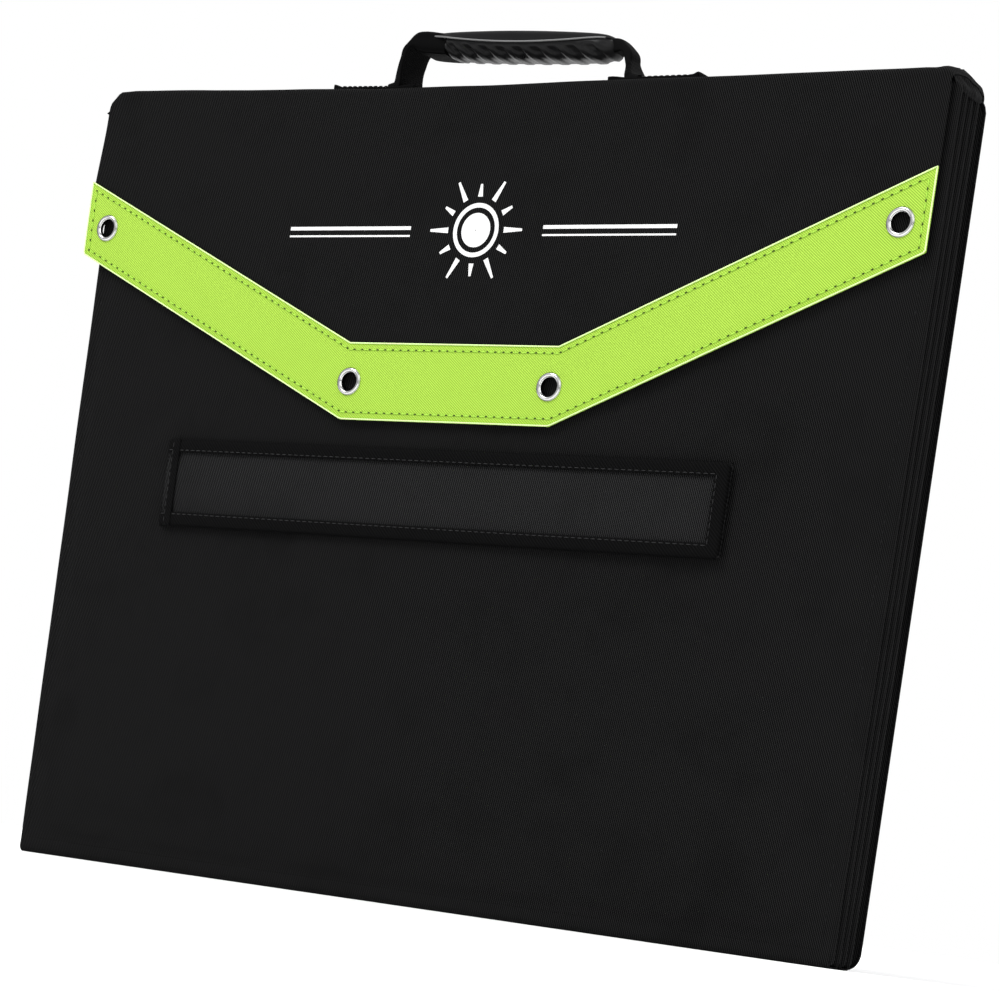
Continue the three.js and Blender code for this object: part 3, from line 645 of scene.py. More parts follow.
def sleeve(number, facing, relief, step):
    """Padded envelope of one panel, with a window on the side its cells face."""
    middle, out = PANEL_Y[number - 1], -facing
    half_w, half_h = HALF_W - ROLL, HALF_H - ROLL
    u = lines(-half_w, half_w, FINE, step) / half_w
    v = lines(-half_h, half_h, FINE, step) / half_h
    ru, rv = rim(u, v)

    def skin(u, v):
        x, z = rounded(u, v, half_w, half_h, corner_at(v) - ROLL * 0.5)
        return xyz(x, middle + out * skin_height(x, z, number, relief), z + PANEL_MID)

    rows = [skin(ru, rv)]

    def loop(inset_x, inset_z, height):
        radius = np.maximum(corner_at(rv) - 0.25 * (inset_x + inset_z), 3.0)
        x, z = rounded(ru, rv, HALF_W - inset_x, HALF_H - inset_z, radius)
        wobble = 0.35 * noise_at(x, middle, z, 55, number + 20) * np.exp(-inset_x / 6)
        x = x + np.sign(x) * wobble * (np.abs(ru) >= 1)
        rows.append(xyz(x, middle + out * height, z + PANEL_MID))

    for a in np.radians((66, 44, 22, 0, -22, -44, -66, -90)):
        loop(ROLL * (1 - math.cos(a)), ROLL * (1 - math.cos(a)), HEM * math.sin(a))
    for inset in (4.0, 5.4, 6.2, STITCH_IN, 7.8, 8.8, BORDER):
        dip = 0.3 * bell(inset - STITCH_IN, 0.9)
        loop(inset, inset, -(HEM + 0.5 * smooth((inset - STITCH_IN) / 5) - dip))
    level = HALF_T - 0.1
    crown = level - (PANEL_Y[1] - PANEL_Y[0]) / 2 + 0.07
    for share, drop in ((0.5, crown), (1.0, 0.0), (1.02, 0.15), (1.03, 0.5), (1.03, 0.95)):
        across, upward = (BORDER + (reach - BORDER) * share for reach in WINDOW_IN)
        loop(across, upward, -(level - drop))
    shape = Shape().grid(skin(*np.meshgrid(u, v))).grid(rows, wrap_columns=True)
    return build(f"sleeve_{number}", shape, BLACK)


def sleeve_stitches(number, facing, relief, body):
    """Lockstitch round the sleeve on its skin and along the border on the cell side."""
    radius, proud, sunk = 4.0, 0.08, 0.22
    half_w, half_h = HALF_W - STITCH_IN, HALF_H - STITCH_IN
    corners = []
    for k, (cx, cz) in enumerate(((1, 1), (-1, 1), (-1, -1), (1, -1))):
        for a in arc(7) + k * math.pi / 2:
            corners.append((cx * (half_w - radius) + radius * math.cos(a), 0,
                            cz * (half_h - radius) + radius * math.sin(a)))
    x, _, z = along(corners + corners[:1], 2.0)[0].T
    skin = skin_height(x, z, number, relief) + proud
    paths = []
    for side, level in ((-facing, skin), (facing, HEM - sunk)):
        line = xyz(x, PANEL_Y[number - 1] + side * level, z + PANEL_MID)
        paths.append(np.concatenate([line, line[:1]]))
    sewn(f"sleeve_stitches_{number}", paths, body, radius=0.27)


def fold_half(name, y_edge, out, y_mid, level, up, seed):
    """Half of the fabric that joins two sleeves: from a sleeve's skin round to the middle of
    the fold. Out is the side of the skin, up is +1 for a lower fold and -1 for an upper one."""
    hem_y = y_edge + out * HEM
    turn = 3.6
    outer = [(hem_y - out * 0.9, 17), (hem_y - out * 0.35, 12.5), (hem_y + out * 0.12, 9.5),
             (hem_y + out * 0.42, 6.8)]
    centre_y = hem_y + out * 0.45 - out * turn
    for a in arc(9):
        outer.append((centre_y + out * turn * math.cos(a), turn * (1 - math.sin(a)) + 0.05))
    first = outer[-1]
    for t in (0.34, 0.67, 1.0):
        outer.append((first[0] + (y_mid - first[0]) * t, first[1] * (1 - t)))
    outer = np.array(outer)
    tangent = unit(np.gradient(outer, axis=0))
    side = np.stack([tangent[:, 1], -tangent[:, 0]], axis=1)
    if side[6] @ (np.array([centre_y, turn]) - outer[6]) < 0:
        side = -side
    ends = HALF_W - (LOW_CORNER if up > 0 else CORNER) + 1.5
    x = lines(-ends, ends, (0, 0.6, 1.6, 4, 9), 9)
    run = outer[:, 1][:, None]
    crinkle = 0.22 * noise_at(x[None, :], run * 1.5, seed, 14, seed) * smooth((14 - run) / 6)
    y = outer[:, 0][:, None] - crinkle * side[:, 0][:, None]
    z = np.maximum(run - crinkle * side[:, 1][:, None], 0.0)
    shape = sheet(xyz(x, y, level + up * z), 0.85, (0, -side[6, 0], -up * side[6, 1]), "lr", 0.2,
                  probe=(6, 5))
    return build(name, shape, BLACK)


def sleeves():
    """Four sleeves whose cells face each other in pairs, and the fabric folds between them."""
    bodies = ("front_panel", "panel_2", "panel_3", "back_panel")
    for number, (facing, body) in enumerate(zip((1, -1, 1, -1), bodies), 1):
        relief, step = (1.0, 5.5) if number == 1 else (0.6, 16)    # only the first is seen whole
        obj = sleeve(number, facing, relief, step)
        if number == 1:
            relax_skin(obj)
        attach(obj, body)
        stands_for(obj, f"cover_{number}")
        sleeve_stitches(number, facing, relief, body)
    for first, (fold, up) in enumerate((("front", 1), ("middle", -1), ("rear", 1)), 1):
        level = mm_box(f"fold_strip_{fold}")[0 if up > 0 else 1][2]
        y_mid = (PANEL_Y[first - 1] + PANEL_Y[first]) / 2
        for number, side in ((first, -1), (first + 1, 1)):
            y_edge = PANEL_Y[number - 1]
            obj = fold_half(f"fold_{fold}_{number}", y_edge, side, y_mid, level, up, number + 3.7)
            bend(obj)
            stands_for(obj, *([f"fold_strip_{fold}"] if side < 0 else []))


def relax_skin(obj):
    """Cloth under light pressure, held along its seams, gives the front skin its soft ripples."""
    front = PANEL_Y[0] - 1.0
    puff(obj, pin=lambda co: inset_of(co[:, 0], co[:, 2] - PANEL_MID) < BORDER,
         face=lambda co: co[:, 1] < front, cap=0.9, pressure=0.35, shrink=-0.012)
    low, high = mm_box("board_1")
    for vertex in obj.data.vertices:
        x, y, z = vertex.co / MM
        if y < front and abs(x) < high[0] + 2 and low[2] - 2 < z < high[2] + 2:
            vertex.co.y = min(y, low[1] - SKIN) * MM


def puff(obj, pin, face, cap, pressure, shrink, frames=16):
    """Runs Blender's cloth on part of a mesh and keeps its result, moved by at most cap mm."""
    rest = np.array([v.co for v in obj.data.vertices]) / MM
    held = pin(rest) | ~face(rest)
    group = obj.vertex_groups.new(name="held")
    group.add([int(i) for i in np.nonzero(held)[0]], 1.0, "REPLACE")
    cloth = obj.modifiers.new("cloth", "CLOTH")
    values = {
        "quality": 6, "mass": 0.15, "tension_stiffness": 12.0, "compression_stiffness": 12.0,
        "shear_stiffness": 6.0, "bending_stiffness": 0.4, "vertex_group_mass": "held",
        "pin_stiffness": 1.0, "shrink_min": shrink, "use_pressure": True,
        "uniform_pressure_force": pressure,
    }
    for key, value in values.items():
        setattr(cloth.settings, key, value)
    cloth.settings.effector_weights.gravity = 0.0
    cloth.collision_settings.use_collision = False
    cloth.collision_settings.use_self_collision = False
    scene = bpy.context.scene
    for number in range(1, frames + 1):
        scene.frame_set(number)
    result = obj.evaluated_get(bpy.context.evaluated_depsgraph_get())
    shift = np.array([v.co for v in result.data.vertices]) / MM - rest
    length = np.maximum(np.linalg.norm(shift, axis=1), 1e-9)
    shift = shift * np.minimum(1.0, cap / length)[:, None] * (~held)[:, None]
    obj.modifiers.remove(cloth)
    obj.vertex_groups.clear()
    obj.data.vertices.foreach_set("co", ((rest + shift) * MM).astype(np.float32).ravel())
    obj.data.update()
    scene.frame_set(1)


# ---------------------------------------------------------------- spine and flap

TOP = SPINE_HIGH[2]
END_RADIUS = (11.0, 4.0)           # the covering droops over the panels' left and right corners
FRONT_EDGE, BACK_EDGE = 4.2, 3.0   # radii over the front and back edges of the top
SEAM_Y = -13.0                     # where the loose top meets the bending front edge
HINGE = HINGES["flap_open"]
BEND_TOP = HINGE[2] + 7
CLOTH = FLAP_BACK - FLAP_FRONT
BORE = 6.7                         # radius of the holes under the eyelets


def end_drop(x):
    """How far the covering has sunk near its two ends."""
    radius = np.where(np.asarray(x) < FLAP_MID, *END_RADIUS)
    over = np.maximum(np.abs(x - FLAP_MID) - (FLAP_HALF - radius), 0)
    return radius - np.sqrt(np.maximum(radius**2 - over**2, 0))


def arched(x, y):
    """The loose top stands up in a low arch from front to back at its right end."""
    across = np.clip((y - FLAP_FRONT - 2) / 33, 0, 1)
    return 2.6 * np.sin(math.pi * across) * smooth((x - 200) / 65)


def drawn_in(x, z):
    """The loose cloth is drawn a little to the right towards its upper left corner."""
    return 4.0 * smooth((z - 392) / 56) * np.clip((-84 - x) / 200, 0, 1)


def raised(x):
    """How far the loose covering stands over the panels: level at the right, higher to the left."""
    return 1.8 + 5.2 * np.clip((-75 - x) / 205, 0, 1)


def flap_columns(step=6.0):
    return lines(FLAP_X0, FLAP_X1, (0, 0.35, 1.0, 2.0, 3.2, 5, 7.5, 11), step)


def drape(x, z):
    """Soft waves of the flap, flat round the eyelets and along the hinge."""
    wave = 0.55 * noise_at(x, 0, z, 130, 2.0) + 0.16 * noise_at(x, 0, z, 42, 5.0)
    for ex, ez in EYELET_AT:
        wave = wave * smooth((np.hypot(x - ex, z - ez) - 9) / 16)
    return wave * smooth((BEND_TOP - 12 - z) / 30)


def edge_corners():
    """End height and half length of the flap's straight lower edge, read off the CAD sheet."""
    co = np.array([v.co for v in frame["nodes"]["flap_sheet"].data.vertices]) / MM
    ends = co[np.abs(co[:, 0] - FLAP_X0) < 0.5]
    low = co[np.abs(co[:, 2] - FLAP_LOW[2]) < 0.5]
    return ends[:, 2].min(), (low[:, 0].max() - low[:, 0].min()) / 2


FLAP_END, FLAT_HALF = edge_corners()
TRIM_BAND = TRIM_HIGH[2] - FLAP_END


def edge_low(x):
    """Height of the flap's lower edge."""
    t = np.clip((np.abs(x - FLAP_MID) - FLAT_HALF) / (FLAP_HALF - FLAT_HALF), 0, 1)
    return FLAP_LOW[2] + (FLAP_END - FLAP_LOW[2]) * t


def profile_over_top():
    """The covering's section, from its back hem over the top to the flap's bending line."""
    back_y = SPINE_HIGH[1] + 1.0
    points = [(back_y, TOP - 9), (back_y, TOP - 6)]
    for a in arc(7):
        points.append((back_y - BACK_EDGE * (1 - math.cos(a)), TOP - BACK_EDGE * (1 - math.sin(a))))
    flat = [*np.linspace(back_y - BACK_EDGE - 2, SEAM_Y, 9), SEAM_Y - 1.5, SEAM_Y - 2.8]
    points += [(y, TOP) for y in flat]
    for a in arc(9, 90, 0):
        points.append((FLAP_FRONT + FRONT_EDGE * (1 - math.cos(a)),
                       TOP - FRONT_EDGE * (1 - math.sin(a))))
    points += [(FLAP_FRONT, z) for z in np.linspace(TOP - FRONT_EDGE - 1.5, BEND_TOP, 4)]
    return np.array(points)


def covering_grid(profile):
    """The covering's surface: the section along x, lifted, arched, drooped and rippled."""
    x = flap_columns()
    x, y = np.meshgrid(x, profile[:, 0])
    z = np.repeat(profile[:, 1][:, None], x.shape[1], axis=1)
    fade = smooth((z - BEND_TOP) / (TOP - BEND_TOP - 4))
    ripple = 0.35 * noise_at(x, y, 0, 60, 3.0) + 0.2 * noise_at(x, y, 0, 22, 8.0)
    on_top = smooth((z - (TOP - 2)) / 2)
    near_end = smooth((np.abs(x - FLAP_MID) - (FLAP_HALF - 20)) / 12)
    crumple = near_end * smooth((z - BEND_TOP) / 8)
    y = y + 0.55 * crumple * noise_at(x * 1.6, y, z * 0.8, 6.5, 12.0)
    lift = raised(x) * smooth((z - BEND_TOP) / (TOP - FRONT_EDGE - BEND_TOP))
    soft = (ripple - 0.25) * on_top * smooth(TOP + 1 - z)
    z = z + lift + arched(x, y) - end_drop(x) * fade + soft
    z = z + 1.1 * crumple * noise_at(x * 1.2, y, z, 5.5, 15.0) - 0.3 * crumple
    return xyz(x + drawn_in(x, z), y, z)


def cover_ends():
    """The covering's two ends are tucked down over the panels' corners in small pleats."""
    pleat_pitch, pleat_deep, least_deep, more_deep = 5.2, 1.9, 1.5, 9.5
    y, t = np.meshgrid(np.linspace(FLAP_FRONT + 3.0, SPINE_HIGH[1] - 3.0, 100),
                       np.linspace(0, 1, 18))
    share = np.clip((y - y[0, 0]) / (y[0, -1] - y[0, 0]), 0, 1)
    bow = np.sqrt(np.sin(math.pi * share))
    for side, name, x in ((-1, "left", FLAP_X0), (1, "right", FLAP_X1)):
        end = abs(x + drawn_in(x, TOP)) - 0.5
        foot = max(HALF_W + 0.5, end)
        top = TOP + raised(x) + arched(x, y) - end_drop(x) - 0.5
        bent = y / pleat_pitch + 1.1 * np.abs(t - 0.45) + 0.35 * noise_at(y, 0, t * 9, 9, 4.0 + side)
        pleat = smooth(np.abs(bent % 2 - 1)) - 0.5
        out = end + (foot - end) * smooth(t * 1.25) * bow
        out = out + pleat_deep * pleat * smooth(t * 5) * smooth(1.15 - t) * bow
        z = top - (least_deep + more_deep * bow) * t
        shape = sheet(xyz(side * out, y, z), 0.8, side * X)
        piece(f"cover_end_{name}", shape, BLACK, "spine")


def lining():
    """Thin lining that closes the covering under its stiffener."""
    low, high = mm_box("spine_board")
    x = lines(low[0] - 1.5, high[0] + 1.5, (0, 1, 3), 14)
    y = np.linspace(low[1] - 1.0, high[1] + 1.0, 9)
    shape = sheet(xyz(*np.meshgrid(x, y), low[2] - 0.06), 0.34, Z, lip=0.1)
    piece("cover_lining", shape, BLACK, "spine")


def covering():
    """The loose covering in three pieces: back hem, top, and the edge that bends to the flap."""
    cover_ends()
    lining()
    profile = profile_over_top()
    p = covering_grid(profile)
    seam = int(np.argmin(np.abs(profile[:, 0] - SEAM_Y) + 10 * (profile[:, 1] < TOP - 0.1)))
    hem, thick = 9, 1.3
    shape = sheet(p[:hem + 1], thick, Y + Z, "lrt")
    obj = build("cover_back_hem", shape, BLACK, recalc=False)
    stands_for(bend(obj))
    shape = sheet(p[hem:seam + 1], thick, Z, "lr")
    piece("cover_top", shape, BLACK, "spine", "spine_cover", recalc=False)
    obj = build("cover_front_edge", sheet(p[seam:], 1.2, Z - Y, "lr"), BLACK, recalc=False)
    bend(obj)
    stands_for(obj, "flap_root")


def flap_rows(x):
    """Heights of the flap's rows at x, from the bending line to its lower edge."""
    start = np.concatenate([BEND_TOP - np.arange(0, 15, 1.0), [HINGE[2] - 12]])
    trim_top = edge_low(x) + TRIM_BAND
    above = start[-1] + (trim_top - start[-1]) * np.linspace(0, 1, 26)[1:]
    shares = np.array([0.04, 0.1, 0.2, 0.32, 0.44, 0.56, 0.68, 0.8, 0.9, 0.96, 1.0])
    return np.concatenate([start, above, trim_top - TRIM_BAND * shares])


def bored(obj):
    """Cuts the eyelets' round holes through a thin piece."""
    sides = 40
    cutter = Shape()
    for ex, ez in EYELET_AT:
        x, z = ex + BORE * np.cos(turns(sides)), ez + BORE * np.sin(turns(sides))
        cutter.closed([xyz(x, y, z) for y in (FLAP_FRONT - 8, FLAP_BACK + 8)])
    tool = build("cutter", cutter, BLACK)
    modifier = obj.modifiers.new("holes", "BOOLEAN")
    modifier.operation, modifier.solver, modifier.object = "DIFFERENCE", "EXACT", tool
    mesh = baked(obj).data
    bpy.data.objects.remove(tool)
    mesh.polygons.foreach_set("use_smooth", [True] * len(mesh.polygons))
    mesh.set_sharp_from_angle(angle=math.radians(38))
    return obj


def baked(obj):
    """Replaces an object's mesh by the result of its modifiers."""
    graph = bpy.context.evaluated_depsgraph_get()
    mesh = bpy.data.meshes.new_from_object(obj.evaluated_get(graph))
    obj.modifiers.clear()
    obj.data = mesh
    return obj


def flap():
    """The flap from its bending line down to its lower edge, with holes for the eyelets."""
    x = flap_columns()
    z = np.stack([flap_rows(v) for v in x], axis=1)
    p = xyz(x + drawn_in(x, z), FLAP_FRONT + drape(x, z), z)
    obj = bored(build("flap_cloth", sheet(p, CLOTH, -Y, "lrb"), BLACK))
    bend(obj)
    stands_for(obj, "flap_sheet")


def band_columns():
    """Columns of the trim, closer together at its two bends."""
    bends = [FLAP_MID - FLAT_HALF, FLAP_MID + FLAT_HALF]
    extra = [b + d for b in bends for d in (-3, -1.2, 0, 1.2, 3)]
    keep = [v for v in flap_columns(5.0) if all(abs(v - b) > 4 for b in bends)]
    return np.array(sorted(keep + extra))


def trim():
    """Bright trim sewn along the lower edge, turned in at its edges."""
    thick, seam, pitch = 0.95, 3.7, 5.3
    x = band_columns()
    share = np.linspace(0, 1, 13)[:, None]
    low = edge_low(x)
    z = low - 0.25 + (TRIM_BAND + 0.25) * share
    inset = np.minimum(np.minimum(share, 1 - share) * TRIM_BAND, np.minimum(x - x[0], x[-1] - x))
    rise = thick + 0.12 * smooth(inset / 6) - 0.16 * bell(inset - seam, 1.0)
    p = xyz(x, FLAP_FRONT + drape(x, z) - rise, z)
    obj = bored(build("flap_trim_cloth", sheet(p, thick, -Y, lip=0.3), GREEN))
    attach(obj, "flap")
    stands_for(obj, "flap_trim", slot="green_twill")

    def outline(inset, upper):
        """A line along the trim, in from its ends and up from its lower edge, on its surface."""
        bends = (FLAP_X0 + inset, FLAP_MID - FLAT_HALF, FLAP_MID + FLAT_HALF, FLAP_X1 - inset)
        return [(v, 0, float(edge_low(v)) + upper) for v in bends]

    def lie(path):
        x, _, z = np.array(path).T
        return xyz(x, FLAP_FRONT - thick - 0.24 + drape(x, z), z)

    lower, upper = outline(seam, seam), outline(seam, TRIM_BAND - seam)
    paths, holes = [], Shape()
    for line in (lower, upper, [lower[0], upper[0]], [lower[-1], upper[-1]]):
        paths.append(lie([line[0], *along(line, 1.5)[0], line[-1]]))
        # Dark dots at the needle holes between the stitches, as painted shade.
        for q, d in zip(*along(paths[-1], pitch, start=0.0)):
            holes.closed(capsule(q - d * 0.75, q + d * 0.75, 0.42))
    sewn("trim_stitches", paths, "flap", "green_twill", pitch, 3.9, 0.36, GREEN_THREAD)
    piece("trim_hole_shade_dots", holes, NEEDLE_HOLE_SHADE, "flap", slot="green_twill", weld=False)
    # A thin pale tube round the trim: its cut edge, brightened as a painted highlight.
    corners = outline(0.1, -0.1)
    corners += [(x, 0, z + TRIM_BAND) for x, _, z in corners[::-1]]
    edges = Shape().grid(tube(lie(along(corners + corners[:1], 2.0)[0]), 0.42), wrap_rows=True,
                         wrap_columns=True)
    piece("trim_pale_edges_and_highlight", edges, CUT_EDGE_AND_HIGHLIGHT, "flap", slot="green_twill")


def tube(path, radius, sides=7):
    """Rings round a closed path that runs over the front of the case."""
    across = np.cross(unit(np.roll(path, -1, axis=0) - np.roll(path, 1, axis=0)), Y)
    rings = [path + radius * (math.cos(a) * across + math.sin(a) * Y) for a in turns(sides)]
    return np.array(rings).transpose(1, 0, 2)


def lathe(profile, at_x, at_z, sides=48):
    """Turns a profile of (radius, y) about a line that runs from front to back."""
    r, y = np.array(profile).T[:, :, None]
    p = xyz(at_x + r * np.cos(turns(sides)), y, at_z + r * np.sin(turns(sides)))
    return Shape().grid(p, wrap_columns=True)


def eyelets():
    """Rolled eyelets: a domed flange round a flared barrel, and a flat washer behind."""
    bore = 5.3
    for i, ((ex, ez), (low, high)) in enumerate(zip(EYELET_AT, EYELETS), 1):
        outer = (high[0] - low[0]) / 2 - 0.4
        front, back = low[1], high[1]
        profile = [(outer - 0.15, front + 0.95), (outer, front + 0.6), (outer - 0.25, front + 0.3)]
        for a in arc(9, 25, 155):
            profile.append(((outer + bore) / 2 - (outer - bore) / 2 * 0.92 * math.cos(a),
                            front + 0.55 - 0.95 * math.sin(a)))
        profile += [(bore + 0.05, front + 0.6), (bore, front + 1.2), (bore + 0.05, back - 0.4),
                    (bore + 0.5, back + 0.15), (bore + 1.1, back + 0.2)]
        piece(f"eyelet_ring_{i}", lathe(profile, ex, ez), NICKEL, "flap", f"eyelet_{i}",
              slot="nickel")
        node = f"eyelet_washer_{i}"
        low, high = mm_box(node)
        flat = (high[0] - low[0]) / 2
        ring = [(bore + 0.9, low[1]), (flat, low[1]), (flat - 0.2, low[1] + 0.35),
                (flat - 1.0, high[1]), (bore + 1.4, high[1] - 0.1), (bore + 0.9, low[1])]
        piece(f"eyelet_back_{i}", lathe(ring, ex, ez), NICKEL, "flap", node, slot="nickel")


def motif():
    """A plain sun between two pairs of rules, printed on the flap."""
    cx, cz = FLAP_MID + 4, (FLAP_HIGH[2] + FLAP_LOW[2]) / 2 + 22
    shape = Shape()

    def patch(x, z):
        x, z = np.broadcast_arrays(cx + x, cz + z)
        shape.grid(xyz(x, FLAP_FRONT + drape(x, z) - 0.07, z))

    circle = np.linspace(0, 2 * math.pi, 65)
    for inner, outer in ((0.3, 9.5), (12.5, 15.0)):
        r = np.linspace(inner, outer, 4)[:, None]
        patch(r * np.cos(circle), r * np.sin(circle))
    rays, first = 12, 18.5
    for k in range(rays):
        a = k * 2 * math.pi / rays
        length = 7 if k % 2 else 12
        r = np.linspace(first, first + length, 5)[:, None]
        w = np.linspace(-1, 1, 3) * (1.6 - 0.9 * (r - first) / length)
        patch(r * math.cos(a) - w * math.sin(a), r * math.sin(a) + w * math.cos(a))
    for side in (-1, 1):
        x = side * np.linspace(44, 128, 20)[:, None]
        for height, half in ((1.4, 1.0), (-3.0, 0.5)):
            patch(x, height + np.array([-half, half]))
    piece("flap_print", shape, PRINT, "flap", slot=None, recalc=False, weld=False)


# ---------------------------------------------------------------- leg

BIND = 8.0                         # width of the woven binding on the leg's face


def leg_outline(inset):
    """Top edge from left to right, round the free end, and back along the lower edge."""
    radius = max(3.0 - inset, 0.4)
    low, high = LEG_LOW[2] - 0.5 + inset, LEG_HIGH[2] + 0.5 - inset
    left, right = LEG_LOW[0] + 0.5, LEG_HIGH[0] + 0.6 - inset
    long_edge = np.linspace(left, right - radius, 60)
    points = [(x, high) for x in long_edge[:-1]]
    for a in arc(6):
        points.append((right - radius + radius * math.sin(a), high - radius + radius * math.cos(a)))
    points += [(right, z) for z in np.linspace(high - radius, low + radius, 10)[1:-1]]
    for a in arc(6):
        points.append((right - radius + radius * math.cos(a), low + radius - radius * math.sin(a)))
    points += [(x, low) for x in long_edge[-2::-1]]
    return np.array(points).T


def leg_lift(x):
    """The free end stands a little off the panel; the sewn end is pressed down."""
    t = (x - LEG_LOW[0]) / (LEG_HIGH[0] - LEG_LOW[0])
    return 1.4 * smooth((t - 0.55) / 0.45) - 0.9 * (1 - smooth(t / 0.05))


def leg():
    """Padded leg: a soft pad, woven binding folded over its rim, stitches, and a sewn end."""
    front, back = LEG_LOW[1], LEG_HIGH[1]
    middle = (front + back) / 2
    left, right = LEG_LOW[0] + 0.5, LEG_HIGH[0] + 0.2
    low, high = LEG_LOW[2] + 0.3, LEG_HIGH[2] - 0.3
    x, z = np.meshgrid(lines(left, right, (0, 1.5, 4, 6, 7.5, 9, 12, 17), 7),
                       lines(low, high, (0, 1.5, 4, 6, 7.5, 9, 12), 4))
    inset = np.minimum(np.minimum(z - low, high - z), right - x)
    puffed = 0.75 * smooth((inset - 7) / 9) - 0.5
    puffed += 0.22 * noise_at(x, 0, z, 36, 4.0) * smooth((inset - 7) / 8)
    pad = sheet(xyz(x, front + 0.35 - puffed - leg_lift(x), z), 2.9, -Y, lip=0.6)
    piece("leg_pad", pad, GREY, "leg", "leg_cover", "leg_board", slot="grey_twill")

    section = [(BIND, front - 0.28), (BIND - 0.15, front - 0.55), (BIND * 0.72, front - 0.62),
               (BIND * 0.4, front - 0.66), (1.6, front - 0.5)]
    for a in arc(7, 60, -60):
        section.append((1.5 - 1.7 * math.cos(a), middle - 2.15 * math.sin(a)))
    section += [(2.0, back + 0.45), (BIND, back + 0.4)]
    rows = []
    for inset_at, level in section:
        x, z = leg_outline(inset_at)
        wave = 0.14 * noise_at(x, level, z, 9, 6.0)
        rows.append(xyz(x, level - leg_lift(x) + wave, z))
    piece("leg_edge_binding", sheet(rows, 0.5, -Y, lip=0.1, probe=(2, 20)), BINDING, "leg",
          "leg_binding", slot="black_tape")
    x, z = leg_outline(BIND - 1.3)
    sewn("leg_stitches", [xyz(x, front - 0.66 - leg_lift(x), z)], "leg", "black_tape",
         pitch=4.2, length=3.0)
    leg_tongue(front)


def leg_tongue(front):
    """The binding runs on past the leg's sewn end, where it bends."""
    start = LEG_LOW[0]
    columns = start + np.arange(-4.0, 10.0)
    x, z = np.meshgrid(columns, np.linspace(LEG_LOW[2] - 0.6, LEG_HIGH[2] + 0.6, 26))
    skin = COVERS[0][0][1]
    rise = (front - 0.5 - skin - leg_lift(x)) * smooth((x - start + 3) / 9)
    y = skin - 0.45 + rise + 0.12 * noise_at(x, 0, z, 8, 3.0)
    obj = build("leg_tongue", sheet(xyz(x, y, z), 0.55, -Y, lip=0.15, probe=(5, 5)), BINDING)
    bend(obj)
    stands_for(obj, "leg_hinge_tape", slot="black_tape")
    paths = []
    for x in (start + 4.0, start + 7.2):
        level = front - 0.62 - float(leg_lift(x))
        paths.append([(x, level, LEG_LOW[2] + 1), (x, level, LEG_HIGH[2] - 1)])
    sewn("leg_tongue_stitches", paths, "leg", "black_tape", pitch=4.0, length=2.9, radius=0.26)


# ---------------------------------------------------------------- handle

WEBBING = 24.0                     # width of the handle's webbing
FOOT_X = mm_box("handle_webbing")[1][0]
SEAT = (GRIP_LOW[2] + CAP_HIGH[2]) / 2
GRIP_HALF = (GRIP_HIGH[0] - GRIP_LOW[0]) / 2
GRIP_DEPTH = (GRIP_HIGH[1] - GRIP_LOW[1]) / 2
GRIP_TALL = (CAP_HIGH[2] - GRIP_LOW[2]) / 2


def hung(points):
    """The soft straps hold the grip a little higher at its left end."""
    points = np.array(points, float)
    share = smooth((points[..., 2] - TOP - 1) / 17)
    points[..., 2] += raised(0.0) + (2.6 - 0.045 * points[..., 0]) * share
    return points


def strap_path(side):
    """Webbing from its sewn foot up and over into the grip's end. The left one leans out."""
    lean = 4.5 if side < 0 else 0.0
    foot = [(15, 0.9), (10.5, 1.7), (7.6, 4.2), (6.0, 8), (4.6, 12)]
    points = [(FOOT_X + x + lean * smooth(z / 11), TOP + z) for x, z in foot]
    radius = 8.5
    cx, cz = FOOT_X + 3.6 + lean - radius, SEAT + 1.6 - radius
    points += [(cx + radius * math.cos(a), cz + radius * math.sin(a)) for a in arc(9)]
    points += [(GRIP_HALF - 3, SEAT + 1.2), (GRIP_HALF - 9, SEAT + 0.6),
               (GRIP_HALF - 15, SEAT + 0.4)]
    return np.array(points) * (side, 1)


def strap(side, name):
    """Webbing folded narrower as it rises: the left one stays wide and full."""
    narrower, fuller = (0.06, 4.0) if side < 0 else (0.52, 1.6)
    path = strap_path(side)
    tangent = unit(np.gradient(path, axis=0))
    out = np.stack([tangent[:, 1], -tangent[:, 0]], axis=1) * side
    out = out * np.sign(out[4, 0] * side or 1)
    folded = smooth((path[:, 1] - TOP - 2) / 11)
    cos, sin = np.cos(turns(24)), np.sin(turns(24))
    rows = []
    for k, (px, pz) in enumerate(path):
        half = WEBBING / 2 * (1 - narrower * folded[k])
        across = half * power(cos, 0.25)
        bulk = 1.3 + 1.1 * folded[k] + fuller * smooth((k - 9) / 5)
        bulk += 0.3 * math.sin(k * 1.1) + 2.2 * bell(pz - TOP, 6)
        reach = bulk * power(sin, 0.55) + 0.5 * (1 - (across / half) ** 2)
        rows.append(xyz(px + out[k, 0] * reach, across, pz + out[k, 1] * reach))
    obj = build(f"handle_strap_{name}", Shape().grid(hung(rows), wrap_columns=True), STRAP)
    obj.modifiers.new("round", "SUBSURF").levels = 1
    baked(obj)
    bend(obj)
    stands_for(obj, *(["handle_webbing"] if side > 0 else []), slot="black_tape")


